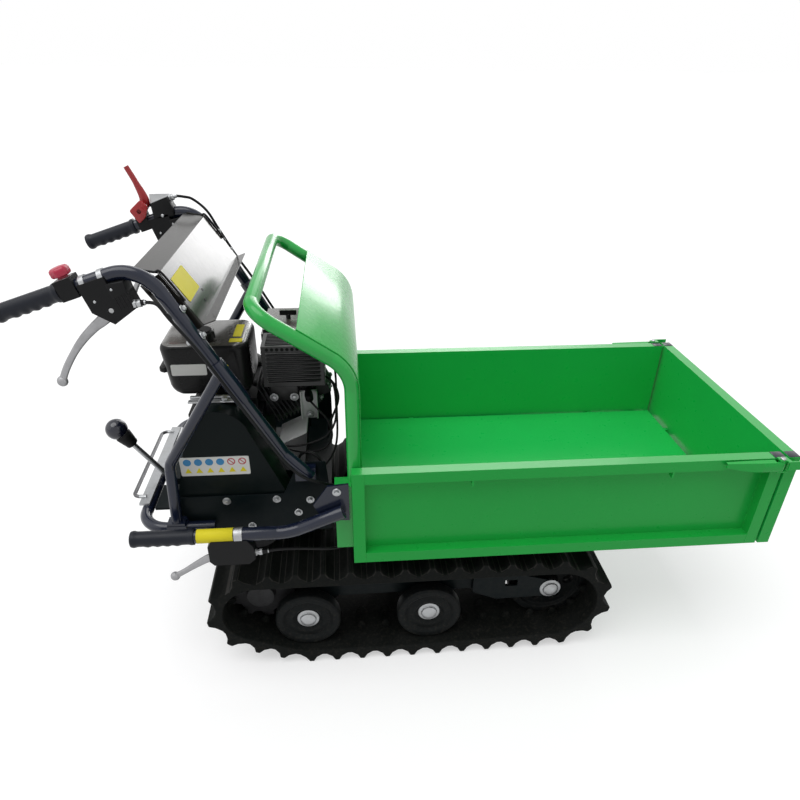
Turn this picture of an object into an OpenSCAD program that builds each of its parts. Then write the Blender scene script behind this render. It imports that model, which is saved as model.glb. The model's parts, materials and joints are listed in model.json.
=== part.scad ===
/* [Bed] */
// Outside length of the bed
bed_l = 920; // [860:5:1100]
// Outside width of the bed over its walls
bed_w = 610; // [600:2:680]
// Height of the walls' bottom edge above the ground
bed_z = 319; // [315:1:360]
// Height of the walls
wall_h = 224; // [150:2:320]
// Square tube of the wall frames
rim = 25; // [22:0.5:32]
// Sheet in the walls
wall_sheet = 2.5; // [1.5:0.5:4]
// Sheet of the floor
floor_sheet = 3; // [2:0.5:5]
// Height of the floor's top above the walls' bottom edge
floor_rise = 23; // [22:0.5:30]
// Height of the sill under the hoop guard
sill_h = 4; // [3:0.5:8]
// Gap between the floor's edge and the walls
wall_gap = 7; // [6:0.5:12]
// Gap between the floor's front edge and the gate
gate_gap = 9; // [8:0.5:14]
// Depth of the two rails under the floor
bed_rail_h = 50; // [40:1:52]
// Width of the two rails under the floor
bed_rail_w = 28; // [20:1:30]
// Radius of the wall hinge pins
hinge_pin_r = 5; // [4:0.5:6]
// Cross position of the two gate hinges
gate_hinge_y = 165; // [100:5:220]
// Distance of a side wall's hinges from the wall's ends
side_hinge_in = 180; // [100:5:300]
// Distance of the tipping pivot from the bed's rear face
pivot_x = 500; // [440:5:540]
// Radius of the tipping pivot pin
pivot_r = 10; // [8:0.5:12]
// Drop of the tipping pivot below the bed's rails
pivot_drop = 5; // [2:0.5:8]

/* [Guard] */
// Diameter of the hoop guard's tube
guard_d = 27; // [22:0.5:30]
// Gap between the hoop's legs and the side walls
guard_gap = 2.5; // [1:0.5:6]
// Distance of the hoop's legs from the bed's rear face
guard_x = 6; // [4:0.5:12]
// Height of the knee where the hoop leans back
guard_knee_z = 746; // [700:2:780]
// Height of the hoop's top bar
guard_top_z = 862; // [845:1:900]
// Reach of the hoop's top bar behind the bed
guard_reach = 166; // [150:2:190]
// Bend radius of the hoop's knees
guard_knee_bend = 80; // [50:2:90]
// Bend radius of the hoop's upper corners
guard_corner_bend = 45; // [35:1:60]
// Length of the head board on the sloping part of the hoop
board_slope_l = 80; // [60:1:130]

/* [Tracks] */
// Width of each rubber track
track_w = 180; // [160:2:190]
// Outside width over the tracks
track_over = 574; // [560:2:600]
// Pitch of the track's lugs
pitch = 60; // [60:0.5:62]
// Number of lugs on each track
links = 33; // [33:1:34]
// Height of a lug
lug_h = 22; // [14:1:24]
// Thickness of the track's band
band_t = 16; // [12:1:18]
// Lug length at its foot
lug_foot = 50; // [40:1:54]
// Lug length part of the way up, where its flank turns steep
lug_waist = 24; // [18:1:30]
// Lug length at its tip
lug_tip = 10; // [6:1:16]
// Teeth of the drive sprocket
teeth = 9; // [9:1:9]
// Distance of the drive axle behind the bed's rear face
sprocket_back = 219; // [210:1:225]
// Height of the drive axle
sprocket_z = 160; // [150:1:165]
// Diameter of the bottom rollers
roller_d = 150; // [140:1:156]
// Thickness of one roller disc
roller_t = 34; // [24:1:36]
// Distance of the rear rollers behind the bed's rear face
roller_back = 111; // [105:1:118]
// Distance of the front rollers ahead of the bed's rear face
roller_ahead = 172; // [165:1:180]
// Diameter of the front idlers
idler_d = 190; // [180:1:196]
// Lift of the track under the idler
idler_lift = 8; // [4:1:14]
// Radius of the wheel axles
axle_r = 12; // [10:0.5:14]
// Running clearance in bores
run_fit = 0.05; // [0.02:0.01:0.1]
// Clearance between the wheels and the band
wheel_gap = 0.5; // [0.4:0.1:1]

/* [Chassis] */
// Width of the two chassis rails
rail_w = 30; // [20:1:32]
// Cross position of the rails' outer faces
rail_out = 90; // [84:1:94]
// Height of the rails' underside
rail_z = 190; // [189:0.5:194]
// Depth of the rails
rail_h = 50; // [40:1:52]
// Length of the chassis behind the bed's rear face
chassis_back = 330; // [300:5:350]
// Thickness of the pivot ears
ear_t = 8; // [5:0.5:10]
// Height of the engine deck's top
deck_z = 382; // [380:0.5:386]
// Thickness of the deck
deck_t = 6; // [4:0.5:8]
// Thickness of the deck's side skirts
skirt_t = 3; // [2:0.5:3.5]
// Diameter of the rear bumper's tube
bumper_d = 25; // [20:0.5:28]
// Cross position of the bumper's legs
bumper_y = 235; // [232:1:240]
// Reach of the bumper behind the bed
bumper_back = 446; // [440:1:460]
// Bend radius of the bumper
bumper_bend = 60; // [40:1:70]

/* [Handlebars] */
// Diameter of the handlebar tube
bar_d = 25; // [20:0.5:28]
// Cross position of the handlebars
bar_y = 240; // [236:1:250]
// Distance of the grips' ends behind the bed
grip_back = 590; // [560:2:620]
// Height of the grips' ends
grip_z = 857; // [840:1:880]
// Distance of the handlebar's bend behind the bed
bend_back = 338; // [330:1:346]
// Height of the handlebar's bend
bend_z = 938; // [925:1:950]
// Bend radius of the handlebar
bar_bend = 65; // [50:1:75]
// Length of the grips
grip_l = 122; // [100:1:126]
// Radius of the grips
grip_r = 17; // [15:0.5:18]
// Diameter of the rear struts
strut_d = 22; // [16:0.5:24]
// Sheet of the console panel
console_sheet = 2; // [1:0.5:3]

/* [Engine] */
// Distance of the crankshaft behind the bed
crank_back = 262; // [256:1:266]
// Height of the crankshaft above the engine's base
crank_h = 106; // [104:1:110]
// Height of the engine's base above the deck
mount_h = 43; // [40:1:46]
// Radius of the crankcase round the crankshaft
case_r = 68; // [60:1:69]
// Half width of the crankcase
case_y = 95; // [90:1:98]
// Radius of the crankshaft
crank_r = 10; // [8:0.5:12]
// Upward tilt of the cylinder
cylinder_tilt = 25; // [20:1:28]
// Number of cooling fins
fins = 8; // [5:1:9]
// Radius of the crank pulley
pulley_r = 40; // [36:1:44]
// Radius of the gearbox pulley
gear_pulley_r = 58; // [54:1:60]
// Width of the drive belt
belt_w = 16; // [12:1:20]
// Thickness of the drive belt
belt_t = 8; // [6:0.5:10]

/* [Tip handle] */
// Diameter of the tip handle's tube
tip_d = 28; // [24:0.5:30]
// Cross position of the tip handle
tip_y = 305; // [303:0.5:306]
// Height of the tip handle
tip_z = 410; // [405:1:416]
// Distance of the tip handle's end behind the bed
tip_back = 441; // [430:1:460]

/* [Hidden] */
$fn = 64;

bed_green = "limegreen";
frame_black = [0.09, 0.1, 0.14];
engine_black = [0.07, 0.07, 0.08];
rubber_black = [0.1, 0.1, 0.1];
lever_silver = "silver";
zinc = [0.75, 0.76, 0.78];
signal_red = "crimson";

// A small overlap that fuses the pieces of one weldment
weld = 1;
// Clearance of flat faces that pass each other
slip = 0.5;

// The whole machine is centred on its length, from the grips' ends to the gate
bar_slope = atan((bend_z - grip_z) / (grip_back - bend_back));
rear_end = -grip_back - grip_r * sin(bar_slope);
x_mid = (bed_l + rear_end) / 2;

// Vectors
function unit(v) = v / norm(v);
// A point of a side view, x and z, set at the cross position y
function at(p, y) = [p[0], y, p[1]];
// Point of a side view along a direction given as an angle above +X
function polar(r, a) = [r * cos(a), r * sin(a)];

// A round bar from a to b
module rod(a, b, r) {
    d = b - a;
    length = norm(d);
    translate(a)
        rotate([0, acos(d[2] / length), atan2(d[1], d[0])])
            cylinder(r = r, h = length);
}

// The round elbow of a tube at the corner p
module elbow(p, d_in, d_out, bend, r) {
    turn = acos(d_in * d_out);
    start = p - d_in * bend * tan(turn / 2);
    centre = p + unit(d_out - d_in) * bend / cos(turn / 2);
    x = unit(start - centre);
    z = cross(x, d_in);
    multmatrix([
        [x[0], d_in[0], z[0], centre[0]],
        [x[1], d_in[1], z[1], centre[1]],
        [x[2], d_in[2], z[2], centre[2]],
        [0, 0, 0, 1]])
        rotate_extrude(angle = turn)
            translate([bend, 0])
                circle(r = r);
}

// A tube through the corners p with a bend radius at each inner corner, a little thinner in its bends
bend_thin = 0.05;
bend_lap = 1;
module bent_tube(p, bends, r) {
    last = len(p) - 1;
    dirs = [for (i = [0:last - 1]) unit(p[i + 1] - p[i])];
    trims = [for (i = [0:last])
        i == 0 || i == last ? 0 : bends[i - 1] * tan(acos(dirs[i - 1] * dirs[i]) / 2)];
    for (i = [0:last - 1])
        rod(p[i] + dirs[i] * (trims[i] - (i > 0 ? bend_lap : 0)),
            p[i + 1] - dirs[i] * (trims[i + 1] - (i < last - 1 ? bend_lap : 0)), r);
    for (i = [1:last - 1])
        elbow(p[i], dirs[i - 1], dirs[i], bends[i - 1], r - bend_thin);
}

// A round turned along +Y, from a list of radius and y pairs
module turned(profile) {
    rotate([-90, 0, 0])
        rotate_extrude()
            polygon([for (q = profile) [q[0], q[1]]]);
}

// A plate drawn as a side view in x and z, from y0 to y1
module side_plate(y0, y1) {
    translate([0, y1, 0])
        rotate([90, 0, 0])
            linear_extrude(y1 - y0)
                children();
}

// The outline of a folded sheet of thickness t along the side-view points p
function fold_normal(p, i) =
    let (a = i == 0 ? unit(p[1] - p[0]) : unit(p[i] - p[i - 1]),
        b = i == len(p) - 1 ? a : unit(p[i + 1] - p[i]),
        m = unit(a + b))
    [-m[1], m[0]] / (a * m);
function folded(p, t) = concat(
    p, [for (i = [len(p) - 1:-1:0]) p[i] + fold_normal(p, i) * t]);

// A cable swept along the points p as one closed tube
cable_sides = 8;
function cable_ring(p, i, r) =
    let (d = unit(p[min(i + 1, len(p) - 1)] - p[max(i - 1, 0)]),
        u = unit(cross(d, abs(d[2]) > 0.9 ? [1, 0, 0] : [0, 0, 1])),
        v = cross(d, u))
    [for (a = [0:360 / cable_sides:359]) p[i] + r * (cos(a) * u + sin(a) * v)];
// Points on a smooth curve through the points p, each stretch cut into n
function spline_point(a, b, c, d, t) =
    0.5 * (2 * b + (c - a) * t + (2 * a - 5 * b + 4 * c - d) * t * t + (3 * b - a - 3 * c + d) * t * t * t);
function spline(p, n) = [
    for (i = [0:len(p) - 2])
        for (k = [0:n - 1])
            spline_point(p[max(i - 1, 0)], p[i], p[i + 1], p[min(i + 2, len(p) - 1)], k / n),
    p[len(p) - 1]];
module cable(route, r) {
    p = spline(route, 3);
    rings = len(p);
    points = [for (i = [0:rings - 1]) each cable_ring(p, i, r)];
    n = cable_sides;
    walls = [
        for (i = [0:rings - 2])
            for (k = [0:n - 1])
                let (a = i * n + k, b = i * n + (k + 1) % n)
                each [[a, a + n, b], [b, a + n, b + n]]];
    first = [for (k = [1:n - 2]) [0, k, k + 1]];
    last = (rings - 1) * n;
    final = [for (k = [1:n - 2]) [last, last + k + 1, last + k]];
    polyhedron(points, concat(walls, first, final));
}

// Belts round wheels, seen from the right side: centres c and radii r in the order of a left-hand loop
function next(i, n) = (i + 1) % n;
function leave(c, r, i) =
    let (j = next(i, len(c)), d = c[j] - c[i], l = norm(d), u = d / l, a = (r[i] - r[j]) / l)
    a * u + sqrt(1 - a * a) * [u[1], -u[0]];
function leave_angle(c, r, i) = let (n = leave(c, r, i)) atan2(n[1], n[0]);
function wrap(c, r, i) =
    let (n = len(c), turn = leave_angle(c, r, i) - leave_angle(c, r, (i + n - 1) % n))
    (turn + 720) % 360;
function run_length(c, r, i) =
    let (j = next(i, len(c)))
    sqrt(pow(norm(c[j] - c[i]), 2) - pow(r[i] - r[j], 2));
function arc_length(c, r, i) = r[i] * wrap(c, r, i) * PI / 180;
function sum(v, i = 0) = i < len(v) ? v[i] + sum(v, i + 1) : 0;
function loop_length(c, r) =
    sum([for (i = [0:len(c) - 1]) arc_length(c, r, i) + run_length(c, r, i)]);
// The point at distance s along the loop, moved out by e
function on_loop(c, r, s, e, i = 0) =
    let (n = len(c), k = i % n, arc = arc_length(c, r, k), run = run_length(c, r, k),
        start = leave_angle(c, r, (k + n - 1) % n))
    s < arc ? c[k] + polar(r[k] + e, start + s / r[k] * 180 / PI) :
    s < arc + run ?
        let (a = leave_angle(c, r, k)) c[k] + polar(r[k] + e, a) + polar(s - arc, a + 90) :
    on_loop(c, r, s - arc - run, e, i + 1);
function loop_outline(c, r, e, count) =
    let (length = loop_length(c, r))
    [for (i = [0:count - 1]) on_loop(c, r, i * length / count, e)];

// Places of the undercarriage
track_out = track_over / 2;
track_y = track_out - track_w / 2;
track_in = track_out - track_w;
roller_z = lug_h + band_t + wheel_gap + roller_d / 2;
idler_z = lug_h + band_t + idler_lift + wheel_gap + idler_d / 2;
sprocket_pitch_r = teeth * pitch / (2 * PI);
sprocket_r = sprocket_pitch_r - band_t / 2 - wheel_gap;
belt_radii = [
    sprocket_pitch_r,
    roller_d / 2 + wheel_gap + band_t / 2,
    roller_d / 2 + wheel_gap + band_t / 2,
    idler_d / 2 + wheel_gap + band_t / 2];
function wheel_places(x) = [
    [-sprocket_back, sprocket_z], [-roller_back, roller_z], [roller_ahead, roller_z], [x, idler_z]];
// The tensioner sets the idler where the loop holds its links
function tension(low, high, n) =
    let (x = (low + high) / 2)
    n == 0 ? x :
    loop_length(wheel_places(x), belt_radii) < links * pitch ? tension(x, high, n - 1) : tension(low, x,
        n - 1);
idler_x = tension(roller_ahead + 100, roller_ahead + 600, 24);
wheels = wheel_places(idler_x);
disc_in = 36;
disc_out = disc_in + roller_t;
beam_y = 20;
beam_top = 195;
beam_low = 142;
fork_y = 28;
fork_t = 6;
washer_t = 4;
dome_r = 15;

// Places of the bed
floor_z = bed_z + floor_rise;
wall_y = bed_w / 2;
wall_in = wall_y - rim;
gate_in = bed_l - rim;
// Room for the gate's lower corner to swing past the side walls' ends
gate_swing = 6;
side_l = gate_in - gate_swing;
hinge_z = bed_z + rim / 2;
hinge_y = wall_y - rim / 2;
gate_hinge_x = bed_l - rim / 2;
floor_half = wall_in - wall_gap;
floor_front = gate_in - gate_gap;
wall_top = bed_z + wall_h;
knuckle_r = hinge_pin_r + 3.5;
knuckle_w = 12;
side_hinges = [side_hinge_in, side_l - side_hinge_in];
bed_rail_top = floor_z - floor_sheet;
sill_z = floor_z + sill_h;
sill_lip = 2;
bed_rail_z = bed_rail_top - bed_rail_h;
rail_side_gap = 2;
bed_rail_out = rail_out - rail_side_gap;
pivot_z = bed_rail_z - pivot_drop;
boss_r = pivot_r + 10;
rail_top = rail_z + rail_h;

// Places of the guard
guard_r = guard_d / 2;
guard_y = wall_in - guard_gap - guard_r;
knee = [guard_x, guard_knee_z];
crown = [-guard_reach, guard_top_z];
lean = unit(crown - knee);

// Places of the handles
bar_r = bar_d / 2;
grip_end = [-grip_back, grip_z];
bar_corner = [-bend_back, bend_z];
bar_dir = unit(bar_corner - grip_end);
bar_up = [-bar_dir[1], bar_dir[0]];
drop_angle = -61.5;
drop_dir = polar(1, drop_angle);
drop_up = polar(1, drop_angle + 90);
collar_at = bar_corner + drop_dir * 250;
bar_foot = collar_at + drop_dir * 15;
foot_bend = bar_corner + drop_dir * 436;
foot_end = foot_bend + polar(72, -48);
strut_top = bar_corner + drop_dir * 226;
strut_knee = [-357, 541];
pad_top = deck_z + 14;
strut_foot = [-366, pad_top + 4];
collar_r = bar_r + 3;
collar_l = 90;
// Point on the straight hand part of a bar, d from the grip's end and h above its axis
function on_bar(d, h) = grip_end + bar_dir * d + bar_up * h;

// Places of the engine
base_z = deck_z + mount_h;
crank = [-crank_back, base_z + crank_h];
skirt_out = bumper_y - bumper_d / 2 - 0.3;
skirt_in = skirt_out - skirt_t;
cover_out = skirt_in - 3;
pulley_y = 185;
gear_pulley = [-sprocket_back, 345];
belt_wheels = [crank, gear_pulley];
belt_pitch = [pulley_r, gear_pulley_r];
tensioner_r = 15;
// Distance of the released tensioner from the belt
tensioner_slack = 5;
belt_side = on_loop([gear_pulley, crank], [gear_pulley_r, pulley_r],
    arc_length([gear_pulley, crank], [gear_pulley_r, pulley_r], 0)
    + run_length([gear_pulley, crank], [gear_pulley_r, pulley_r], 0) / 2,
    belt_t / 2 + tensioner_r + tensioner_slack);
tensioner_pivot = [belt_side[0] + 22, deck_z + 22];

// Places of the gear lever
lever_y = -64;
lever_hub = 14;
lever_foot = [-404, lever_y, 352];
lever_bend = [-424, lever_y, 402];
knob_at = [-511, lever_y, 527];
lever_rod = 6;
knob_r = 23;
knob_stem = 46;
knob_profile = concat(
    [[0, -knob_stem], [11, -knob_stem], [13, -knob_stem + 3]],
    [for (a = [-45:15:75]) polar(knob_r, a)],
    [[0, knob_r]]);

// Draws in the machine's own places and centres it
module place() {
    translate([-x_mid, 0, 0])
        children();
}
// Repeats a right-hand piece, at negative y, on the left
module both_sides() {
    children();
    mirror([0, 1, 0])
        children();
}

// A box from corner a to corner b
module block(a, b) {
    translate(a)
        cube(b - a);
}

// A hex bolt head with its washer, standing on a face at p and pointing along -Y
module side_bolt(p, r) {
    translate(p)
        rotate([90, 0, 0]) {
            cylinder(r = r * 1.5, h = 1.6);
            cylinder(r = r, h = r * 0.9, $fn = 6);
        }
}

module chassis_frame() {
    rail_front = pivot_x + 30;
    color(frame_black)
        place()
            both_sides()
                difference() {
                    union() {
                        block([-chassis_back, -rail_out, rail_z],
                            [rail_front, -rail_out + rail_w, rail_top]);
                        for (x = [[-30, 10], [240, 265]])
                            block([x[0], -track_y + beam_y, 150], [x[1], weld, rail_z + weld]);
                        for (x = [-chassis_back + 12, -118])
                            block([x, -rail_out, rail_top - weld],
                                [x + 30, -rail_out + rail_w, deck_z - deck_t]);
                        block([40, -rail_out, rail_top - weld], [80, -rail_out + rail_w, bed_rail_z - 0.3]);
                        side_plate(-rail_out - ear_t, -rail_out + weld) {
                            translate([pivot_x, pivot_z])
                                circle(r = boss_r);
                            polygon([
                                [pivot_x - 60, rail_z + 4], [rail_front, rail_z + 4],
                                [pivot_x + boss_r, pivot_z], [pivot_x - boss_r, pivot_z]]);
                        }
                        block([-chassis_back, -rail_out + weld, rail_z],
                            [-chassis_back + 30, weld, rail_top]);
                        block([300, -rail_out + weld, rail_z], [330, weld, rail_top]);
                    }
                    translate([pivot_x, 0, pivot_z])
                        rotate([90, 0, 0])
                            cylinder(r = pivot_r, h = 2 * rail_out, center = false);
                }
}

module engine_deck() {
    deck_front = -45;
    deck_rear = -chassis_back - 25;
    seam_z = deck_z + 65;
    color(frame_black)
        place()
            difference() {
                union() {
                    block([deck_rear, -skirt_in - weld, deck_z - deck_t],
                        [deck_front, skirt_in + weld, deck_z]);
                    block([-bumper_back + bumper_d / 2 + 2, -165, deck_z - deck_t],
                        [deck_rear + weld, 165, deck_z]);
                    both_sides()
                        side_plate(-skirt_out, -skirt_in)
                            polygon([
                                [deck_rear, deck_z - 34], [deck_front, deck_z - 34], [deck_front, seam_z],
                                [foot_end[0] + 30, foot_end[1] + 22], [foot_end[0] - 25, foot_end[1] + 22],
                                [foot_end[0] - 60, seam_z], [deck_rear, seam_z]]);
                    block([-340, -100, deck_z - weld], [-105, 100, base_z]);
                    for (y = [lever_y - lever_hub - 8, lever_y + lever_hub])
                        block([lever_foot[0] - 14, y, lever_foot[2] - 12],
                            [lever_foot[0] + 14, y + 8, deck_z - deck_t + weld]);
                    rod(lever_foot - [0, lever_hub + 6, 0], lever_foot + [0, lever_hub + 6, 0], 5);
                    side_plate(-pulley_y + belt_w / 2 + 2, -pulley_y + belt_w / 2 + 22)
                        polygon([
                            [tensioner_pivot[0] - 12, deck_z - weld],
                                [tensioner_pivot[0] + 12, deck_z - weld],
                            [tensioner_pivot[0] + 12, tensioner_pivot[1] + 12],
                            [tensioner_pivot[0] - 12, tensioner_pivot[1] + 12]]);
                }
                block([gear_pulley[0] - gear_pulley_r - 22, -pulley_y - belt_w, deck_z - deck_t - 1],
                    [gear_pulley[0] + gear_pulley_r + 12, -pulley_y + belt_w, deck_z + 1]);
                block([lever_foot[0] - 36, lever_y - 12, deck_z - deck_t - 1],
                    [lever_foot[0] + 24, lever_y + 12, deck_z + 1]);
                translate([tensioner_pivot[0], 0, tensioner_pivot[1]])
                    rotate([90, 0, 0])
                        cylinder(r = 6, h = pulley_y);
            }
}

module rear_bumper() {
    z = deck_z - 2;
    front = -290;
    color(frame_black)
        place() {
            bent_tube([
                [front, -bumper_y, z], [-bumper_back, -bumper_y, z],
                [-bumper_back, bumper_y, z], [front, bumper_y, z]],
                [bumper_bend, bumper_bend], bumper_d / 2);
            both_sides()
                block([strut_foot[0] - 20, -bar_y - 13, z], [strut_foot[0] + 20, -bumper_y + 12, pad_top]);
        }
}

module gear_gate() {
    z = deck_z - 2 + bumper_d / 2;
    x = -bumper_back;
    wire_r = 4;
    color(zinc)
        place() {
            block([x - 16, -168, z], [x + 6, 168, z + 5]);
            bent_tube([
                [x - 6, -142, z + 6], [x - 34, -142, z + 6], [x - 34, 142, z + 6], [x - 6, 142, z + 6]],
                [14, 14], wire_r);
        }
}

module handle_frame() {
    color(frame_black)
        place()
            both_sides() {
                difference() {
                    union() {
                        rod(at(collar_at - drop_dir * collar_l / 2, -bar_y),
                            at(collar_at + drop_dir * collar_l / 2, -bar_y), collar_r);
                        bent_tube([at(strut_top, -bar_y), at(strut_knee, -bar_y), at(strut_foot, -bar_y)],
                            [40], strut_d / 2);
                    }
                    rod(at(collar_at - drop_dir * collar_l, -bar_y), at(bar_foot, -bar_y), bar_r);
                }
                bent_tube([at(bar_foot, -bar_y), at(foot_bend, -bar_y), at(foot_end, -bar_y)], [60], bar_r);
                block([strut_foot[0] - 18, -bar_y - 12, pad_top],
                    [strut_foot[0] + 18, -bar_y + 14, pad_top + 6]);
                block([foot_end[0] - 32, -bar_y, foot_end[1] - 12],
                    [foot_end[0] + 10, -skirt_out, foot_end[1] + 18]);
            }
}

module handlebars() {
    color(frame_black)
        place()
            both_sides()
                bent_tube([
                    at(grip_end + bar_dir * 3, -bar_y), at(bar_corner, -bar_y), at(bar_foot, -bar_y)],
                    [bar_bend], bar_r);
}

// A grip from its closed end at a along d, with finger ridges under it
module grip(a, d, l, r, bore) {
    slope = atan2(d[2], d[0]);
    translate(a)
        rotate([0, 90 - slope, 0])
            difference() {
                rotate_extrude()
                    polygon([
                        [0, 0], [r, 0], [r, 12], [r - 2, 18], [r - 1, l / 2], [r - 2, l - 10], [r, l - 6],
                            [r, l], [0, l]]);
                translate([0, 0, 3])
                    cylinder(r = bore, h = l);
            }
}

module handle_grips() {
    color(rubber_black)
        place()
            both_sides()
                grip(at(grip_end, -bar_y), at(bar_dir, 0), grip_l, grip_r, bar_r);
}

// Side view of the console: its lower edge, its fold, its back edge and the lips beyond them
module console_panel() {
    half = bar_y - bar_r - console_sheet - 1.5;
    lower = [-253, 823];
    fold = [-314, 917];
    back = [-356, 923];
    front_lip = [22, 8];
    back_lip = [-3, -16];
    flange = [34, 20];
    inside = [1, 0.6];
    color(engine_black)
        place() {
            side_plate(-half, half)
                polygon(folded([lower + front_lip, lower, fold, back, back + back_lip], -console_sheet));
            both_sides() {
                side_plate(-bar_y + bar_r + 0.2, -half + weld)
                    polygon([lower + inside, fold + inside, fold - flange, lower - flange]);
            }
        }
}

// Side view of the belt cover, drawn in from its outside by the amount given
module cover_outline(inset) {
    low = deck_z - inset;
    polygon([
        [-364 + inset, low], [-128 - inset, low], [-133 - inset, low + 55],
        [crank[0] + 60 - inset, crank[1] + 70], [crank[0] - 60 + inset, crank[1] + 70],
        [-362 + inset, low + 60]]);
    translate(crank + [0, 48])
        circle(r = 64 - inset);
}

module belt_cover() {
    skin = 2;
    depth = 64;
    color(engine_black)
        place()
            difference() {
                side_plate(-cover_out, -cover_out + depth)
                    cover_outline(0);
                side_plate(-cover_out + skin, -cover_out + depth + 1)
                    cover_outline(skin);
            }
}

module crankcase() {
    color(engine_black)
        place()
            difference() {
                union() {
                    block([crank[0] - 82, -case_y, base_z], [crank[0] + 78, case_y, base_z + 150]);
                    translate([crank[0], case_y, crank[1]])
                        rotate([90, 0, 0])
                            cylinder(r = case_r, h = 2 * case_y);
                    block([crank[0] - 70, -78, base_z + 149], [crank[0] + 66, 90, crank[1] + 69]);
                }
                translate([crank[0], -case_y + 60, crank[1]])
                    rotate([90, 0, 0])
                        cylinder(r = crank_r + run_fit, h = 100);
            }
}

module cylinder_shape(start, thick, half_y, half_z) {
    translate(at(crank, 0))
        rotate([0, -cylinder_tilt, 0])
            translate([start, -half_y, -half_z])
                cube([thick, 2 * half_y, 2 * half_z]);
}

module cylinder_head_block() {
    cylinder_shape(176, 26, 50, 48);
    cylinder_shape(201, 28, 38, 40);
}

module engine_cylinder() {
    color(engine_black)
        place() {
            difference() {
                union() {
                    translate(at(crank, 0))
                        rotate([0, 90 - cylinder_tilt, 0])
                            translate([0, 0, 60])
                                linear_extrude(117)
                                    circle(r = 44);
                    for (i = [0:fins - 1])
                        cylinder_shape(92 + i * 9.6, 3, 52, 50);
                }
                block([crank[0] - 82, -case_y, base_z], [crank[0] + 78, case_y, base_z + 150]);
                block([crank[0] - 70, -78, base_z + 149], [crank[0] + 66.2, 90, crank[1] + 69]);
            }
            cylinder_head_block();
        }
}

recoil_r = 95;
module recoil_housing() {
    color(engine_black)
        place()
            difference() {
                translate(at(crank, case_y))
                    turned([[0, 0], [recoil_r, 0], [recoil_r, 40], [recoil_r - 12, 58], [40, 66], [0, 66]]);
                for (i = [0:11])
                    rotate_about_crank(i * 30)
                        block([crank[0] + 50, case_y + 40, crank[1] - 3],
                            [crank[0] + 80, case_y + 70, crank[1] + 3]);
            }
}

// Turns its children about the crankshaft's axis
module rotate_about_crank(a) {
    translate(at(crank, 0))
        rotate([0, a, 0])
            translate(-at(crank, 0))
                children();
}

tank_low = crank[1] + 69;
tank_rear = crank[0] - 124;
tank_front = crank[0] + 64;
tank_top = tank_low + 141;
tank_right = -120;
tank_left = 36;

module fuel_tank() {
    color(engine_black)
        place() {
            side_plate(tank_right, tank_left)
                polygon([
                    [tank_rear + 28, tank_low + 28], [tank_front - 12, tank_low + 28],
                    [tank_front, tank_low + 60], [tank_front, tank_top - 22], [tank_front - 22, tank_top],
                    [tank_rear + 30, tank_top], [tank_rear + 12, tank_top - 14],
                    [tank_rear + 10, tank_low + 92], [tank_rear, tank_low + 84],
                    [tank_rear, tank_low + 76], [tank_rear + 14, tank_low + 70]]);
            for (y = [-60, 10])
                block([crank[0] - 60, y - 12, tank_low], [crank[0] + 40, y + 12, tank_low + 29]);
        }
}

cap_at = [crank[0] - 32, -82, tank_top];
cap_r = 27;

module fuel_cap() {
    color(engine_black)
        place()
            translate(cap_at + [0, 0, 0.3])
                rotate_extrude()
                    polygon([[0, 0], [cap_r, 0], [cap_r, 16], [cap_r - 4, 20], [0, 20]]);
}

muffler_x = [crank[0] + 92, crank[0] + 216];
muffler_z = [crank[1] + 125, crank[1] + 213];
muffler_y = [-140, -58];
guard_skin = 2;
guard_room = 7;

module muffler() {
    inner = guard_skin + guard_room;
    color([0.2, 0.2, 0.21])
        place() {
            block([muffler_x[0] + inner, muffler_y[0] + inner, muffler_z[0] + inner],
                [muffler_x[1] - inner, muffler_y[1], muffler_z[1] - inner]);
            for (x = [muffler_x[0] + 24, muffler_x[1] - 24])
                for (z = [muffler_z[0] + 24, muffler_z[1] - 24])
                    rod([x, muffler_y[0] + guard_skin, z], [x, muffler_y[0] + inner + weld, z], 4);
            block([crank[0] + 157, muffler_y[1] - weld, muffler_z[0] - 15],
                [crank[0] + 187, -50, muffler_z[0] + 30]);
        }
}

module muffler_guard() {
    slots = 8;
    slot_edge = 10;
    slot_w = 4.5;
    step = (muffler_z[1] - muffler_z[0] - 20) / slots;
    color(engine_black)
        place()
            difference() {
                block([muffler_x[0], muffler_y[0], muffler_z[0]],
                    [muffler_x[1], muffler_y[1] - 6, muffler_z[1]]);
                block([muffler_x[0] + guard_skin, muffler_y[0] + guard_skin, muffler_z[0] + guard_skin],
                    [muffler_x[1] - guard_skin, muffler_y[1] + 1, muffler_z[1] - guard_skin]);
                for (i = [0:slots - 1])
                    let (z = muffler_z[0] + slot_edge + i * step)
                        block([muffler_x[0] + slot_edge, muffler_y[0] - 1, z],
                            [muffler_x[1] - slot_edge, muffler_y[0] + guard_skin + 1, z + slot_w]);
            }
}

cleaner_z = crank[1] + 160;
carb_x = crank[0] + 137;

module air_cleaner() {
    color(engine_black)
        place() {
            block([crank[0] + 84, -48, cleaner_z], [crank[0] + 196, 92, cleaner_z + 44]);
            block([crank[0] + 88, -44, cleaner_z + 43], [crank[0] + 192, 88, cleaner_z + 52]);
            rod([crank[0] + 138, 20, cleaner_z + 51], [crank[0] + 138, 20, cleaner_z + 62], 5);
            block([crank[0] + 120, 16, cleaner_z + 61], [crank[0] + 156, 24, cleaner_z + 72]);
        }
}

module carburettor() {
    color("gray")
        place() {
            block([carb_x - 26, 52, crank[1] + 66], [carb_x + 26, 88, crank[1] + 128]);
            rod([carb_x, 70, crank[1] + 127], [carb_x, 70, cleaner_z], 16);
        }
}

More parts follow.
